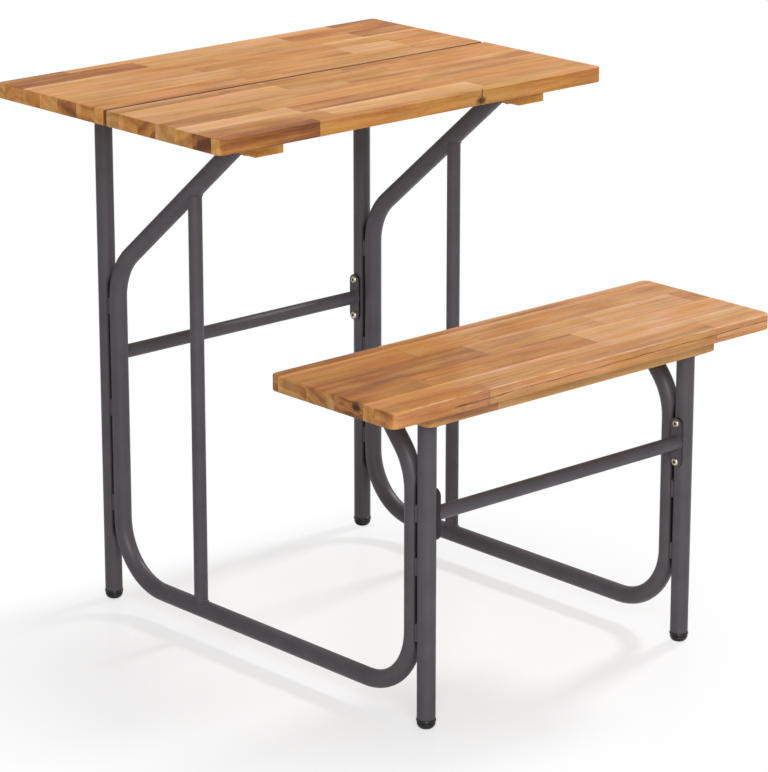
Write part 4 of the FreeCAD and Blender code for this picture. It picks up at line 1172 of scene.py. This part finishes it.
def driven_screw_tree():
    """Geometry Nodes: a head and a threaded shank on every point, turned by chance."""
    inputs = {"Spots": "Geometry", "Head": "Object", "Length": "Float", "Thread Radius": "Float",
              "Pitch": "Float", "Point Length": "Float", "Seed": "Int", "Finish": "Material"}
    tree, given, wanted = new_group("driven_screws", inputs, {"Screws": "Geometry"}, "GeometryNodeTree")
    top = add(tree, "ShaderNodeCombineXYZ", {"Z": given["Length"]}).outputs[0]
    axis = add(tree, "GeometryNodeCurvePrimitiveLine", {"End": top}).outputs[0]
    axis = resample(tree, axis, given["Pitch"], STEPS_PER_THREAD)
    thread = calc(tree, "MULTIPLY_ADD", waves(tree, given["Pitch"]), THREAD_DEPTH, 1.0 - THREAD_DEPTH)
    travelled = add(tree, "GeometryNodeSplineParameter").outputs["Length"]
    left_over = calc(tree, "SUBTRACT", given["Length"], travelled)
    taper = calc(tree, "MINIMUM", calc(tree, "DIVIDE", left_over, given["Point Length"]), 1.0)
    taper = calc(tree, "MAXIMUM", taper, BLUNT_TIP)
    shank = sweep(tree, axis, SHANK_SIDES, product(tree, thread, taper, given["Thread Radius"]), True)
    shaped = add(tree, "GeometryNodeObjectInfo", {"Object": given["Head"]}).outputs["Geometry"]
    screw = add(tree, "GeometryNodeJoinGeometry")
    for part in (shank, shaped):
        feed(tree, screw.inputs[0], part)
    sources = {"Max": (0.0, 0.0, 2 * pi), "Seed": given["Seed"]}
    turn = add(tree, "FunctionNodeRandomValue", sources, data_type="FLOAT_VECTOR")
    screws = add(tree, "GeometryNodeInstanceOnPoints", {
        "Points": given["Spots"], "Instance": screw.outputs[0], "Rotation": turn.outputs[0]}).outputs[0]
    hand_over(tree, wanted["Screws"], screws, given["Finish"])
    return tree


screw_tree = driven_screw_tree()
print("the driven screw has", len(screw_tree.nodes), "nodes")

# %% [markdown]
# The solid model says where the screws go. One of its pieces holds all the screws of a kind, so their
# points are gathered into one box for each screw. The spot is the middle of the box, the height of a head
# above its bottom. The new screws then take the place of the plain ones.

# %% Drive the screws
SCREW_LENGTHS = {"flange_screws": 0.017, "cleat_screws": 0.032, "under_board_screws": 0.032}
THREAD_RADIUS, THREAD_PITCH, POINT_LENGTH = 0.002, 0.0018, 0.004
SAME_SCREW = 3 * HEAD_RADIUS


def screw_spots(node):
    """Where each screw of a group has its seat, read from the solid model."""
    boxes = []
    for vertex in nodes[node].data.vertices:
        for low, high in boxes:
            if (low.xy - vertex.co.xy).length < SAME_SCREW:
                low[:] = map(min, low, vertex.co)
                high[:] = map(max, high, vertex.co)
                break
        else:
            boxes.append((vertex.co.copy(), vertex.co.copy()))
    return [Vector(((low.x + high.x) / 2, (low.y + high.y) / 2, low.z + HEAD_HEIGHT)) for low, high in boxes]


for seed, (node, length) in enumerate(SCREW_LENGTHS.items()):
    spot_mesh = bpy.data.meshes.new(node)
    spot_mesh.from_pydata(screw_spots(node), [], [])
    screws = grow("driven_" + node, spot_mesh, screw_tree, {
        "Head": head, "Length": length, "Thread Radius": THREAD_RADIUS, "Pitch": THREAD_PITCH,
        "Point Length": POINT_LENGTH, "Seed": seed, "Finish": zinc})
    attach(screws, "root")
    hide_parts(node)
    print(len(spot_mesh.vertices), node, "driven,", len(screws.data.polygons), "faces")
bpy.data.objects.remove(head)

# %% [markdown]
# ## Floor
# The picture stands on a white studio floor that runs into a white background without an edge. A pale
# paint takes the shadows and a faint reflection. Where the camera sees it, part of the paint is swapped
# for plain white: more than half between the feet, so that the shadows stay but are faint, and all of it
# farther out and behind the rear legs. Only the camera sees that white, so it throws no light on the
# object. From below the floor is clear.

# %% Floor
FLOOR_RADIUS, FLOOR_SIDES = 14.0, 64
FLOOR_PAINT, FLOOR_ROUGHNESS = (0.93, 0.92, 0.925, 1), 0.30
SHADOW_MIDDLE, SHADOW_REACH = (-0.10, -0.05, 0.0), (0.26, 0.74)
SHADOW_REAR = (0.27, 0.42)
WHITE_NEAR, WHITE_FAR = 0.61, 1.0
WHITE = (1, 1, 1, 1)


def seen_directly(tree):
    """1 for what the camera sees, through glass too, and 0 for light on its way between surfaces."""
    rays = add(tree, "ShaderNodeLightPath").outputs
    return calc(tree, "MAXIMUM", rays["Is Camera Ray"], rays["Is Transmission Ray"])


floor_mesh = bpy.data.meshes.new("studio_floor")
floor_form = bmesh.new()
bmesh.ops.create_circle(floor_form, cap_ends=True, segments=FLOOR_SIDES, radius=FLOOR_RADIUS)
floor_form.to_mesh(floor_mesh)
floor_form.free()
floor = put("studio_floor", floor_mesh)

floor_paint = bpy.data.materials.new("studio_floor")
floor_paint.use_nodes = True
tree = floor_paint.node_tree
tree.nodes.clear()
paint = add(tree, "ShaderNodeBsdfPrincipled", {"Base Color": FLOOR_PAINT, "Roughness": FLOOR_ROUGHNESS})
glow = add(tree, "ShaderNodeEmission", {"Color": WHITE, "Strength": 1.0})
spot = object_point(tree)
away = vector_calc(tree, "DISTANCE", spot, SHADOW_MIDDLE)["Value"]
round_about = slope(tree, away, *SHADOW_REACH, WHITE_NEAR, WHITE_FAR)
behind = slope(tree, split(tree, spot)["Y"], *SHADOW_REAR, WHITE_NEAR, WHITE_FAR)
share = product(tree, seen_directly(tree), calc(tree, "MAXIMUM", round_about, behind))
lit = add(tree, "ShaderNodeMixShader", [share, paint.outputs[0], glow.outputs[0]])
clear = add(tree, "ShaderNodeBsdfTransparent")
from_below = add(tree, "ShaderNodeNewGeometry").outputs["Backfacing"]
both = add(tree, "ShaderNodeMixShader", [from_below, lit.outputs[0], clear.outputs[0]])
add(tree, "ShaderNodeOutputMaterial", [both.outputs[0]])
floor_mesh.materials.append(floor_paint)
print("floor", 2 * FLOOR_RADIUS, "m across")

# %% [markdown]
# ## Light
# The shadows on the floor fall to the left of the legs, so a lamp hangs high on the right. It is small
# enough to give them an edge. A large soft box beside the camera lights the faces that we see, and a weak
# one overhead fills in. The power of each is in watts, low enough that the palest wood stays below white.


# %% Lights
def soft_light(name, place, target, size, power):
    """A square soft box at a place, turned to a target."""
    lamp = bpy.data.lights.new(name, "AREA")
    lamp.shape, lamp.size, lamp.energy = "SQUARE", size, power
    put_facing(name, lamp, place, target)
    print(f"{name}: {size} m wide, {power} W")


soft_light("front_soft_box", place=(-2.6, -3.6, 2.5), target=(0, 0, 0.4), size=2.2, power=153)
soft_light("side_soft_box", place=(3.0, 0.2, 3.34), target=(0, 0, 0), size=0.6, power=118)
soft_light("top_soft_box", place=(0.2, 0.2, 4.2), target=(0, 0, 0.4), size=3.2, power=14)

# %% [markdown]
# The world around is a plain glow that fills the shadows. The camera sees it as pure white. Mirrored in the
# coat it is less than half as bright, which keeps the rims of the tubes dark, as they are in the picture.

# %% World
GLOW, GLOW_IN_MIRRORS = 0.30, 0.45

world = bpy.data.worlds.new("studio")
bpy.context.scene.world = world
world.use_nodes = True
tree = world.node_tree
tree.nodes.clear()
mirrored = add(tree, "ShaderNodeLightPath").outputs["Is Glossy Ray"]
strength = weigh(tree, (1.0 - GLOW, seen_directly(tree)), (GLOW_IN_MIRRORS - GLOW, mirrored), (1.0, GLOW))
sky = add(tree, "ShaderNodeBackground", {"Color": WHITE, "Strength": strength})
add(tree, "ShaderNodeOutputWorld", [sky.outputs[0]])
bpy.context.scene.view_settings.view_transform = "Standard"
print("the world glows at", GLOW)
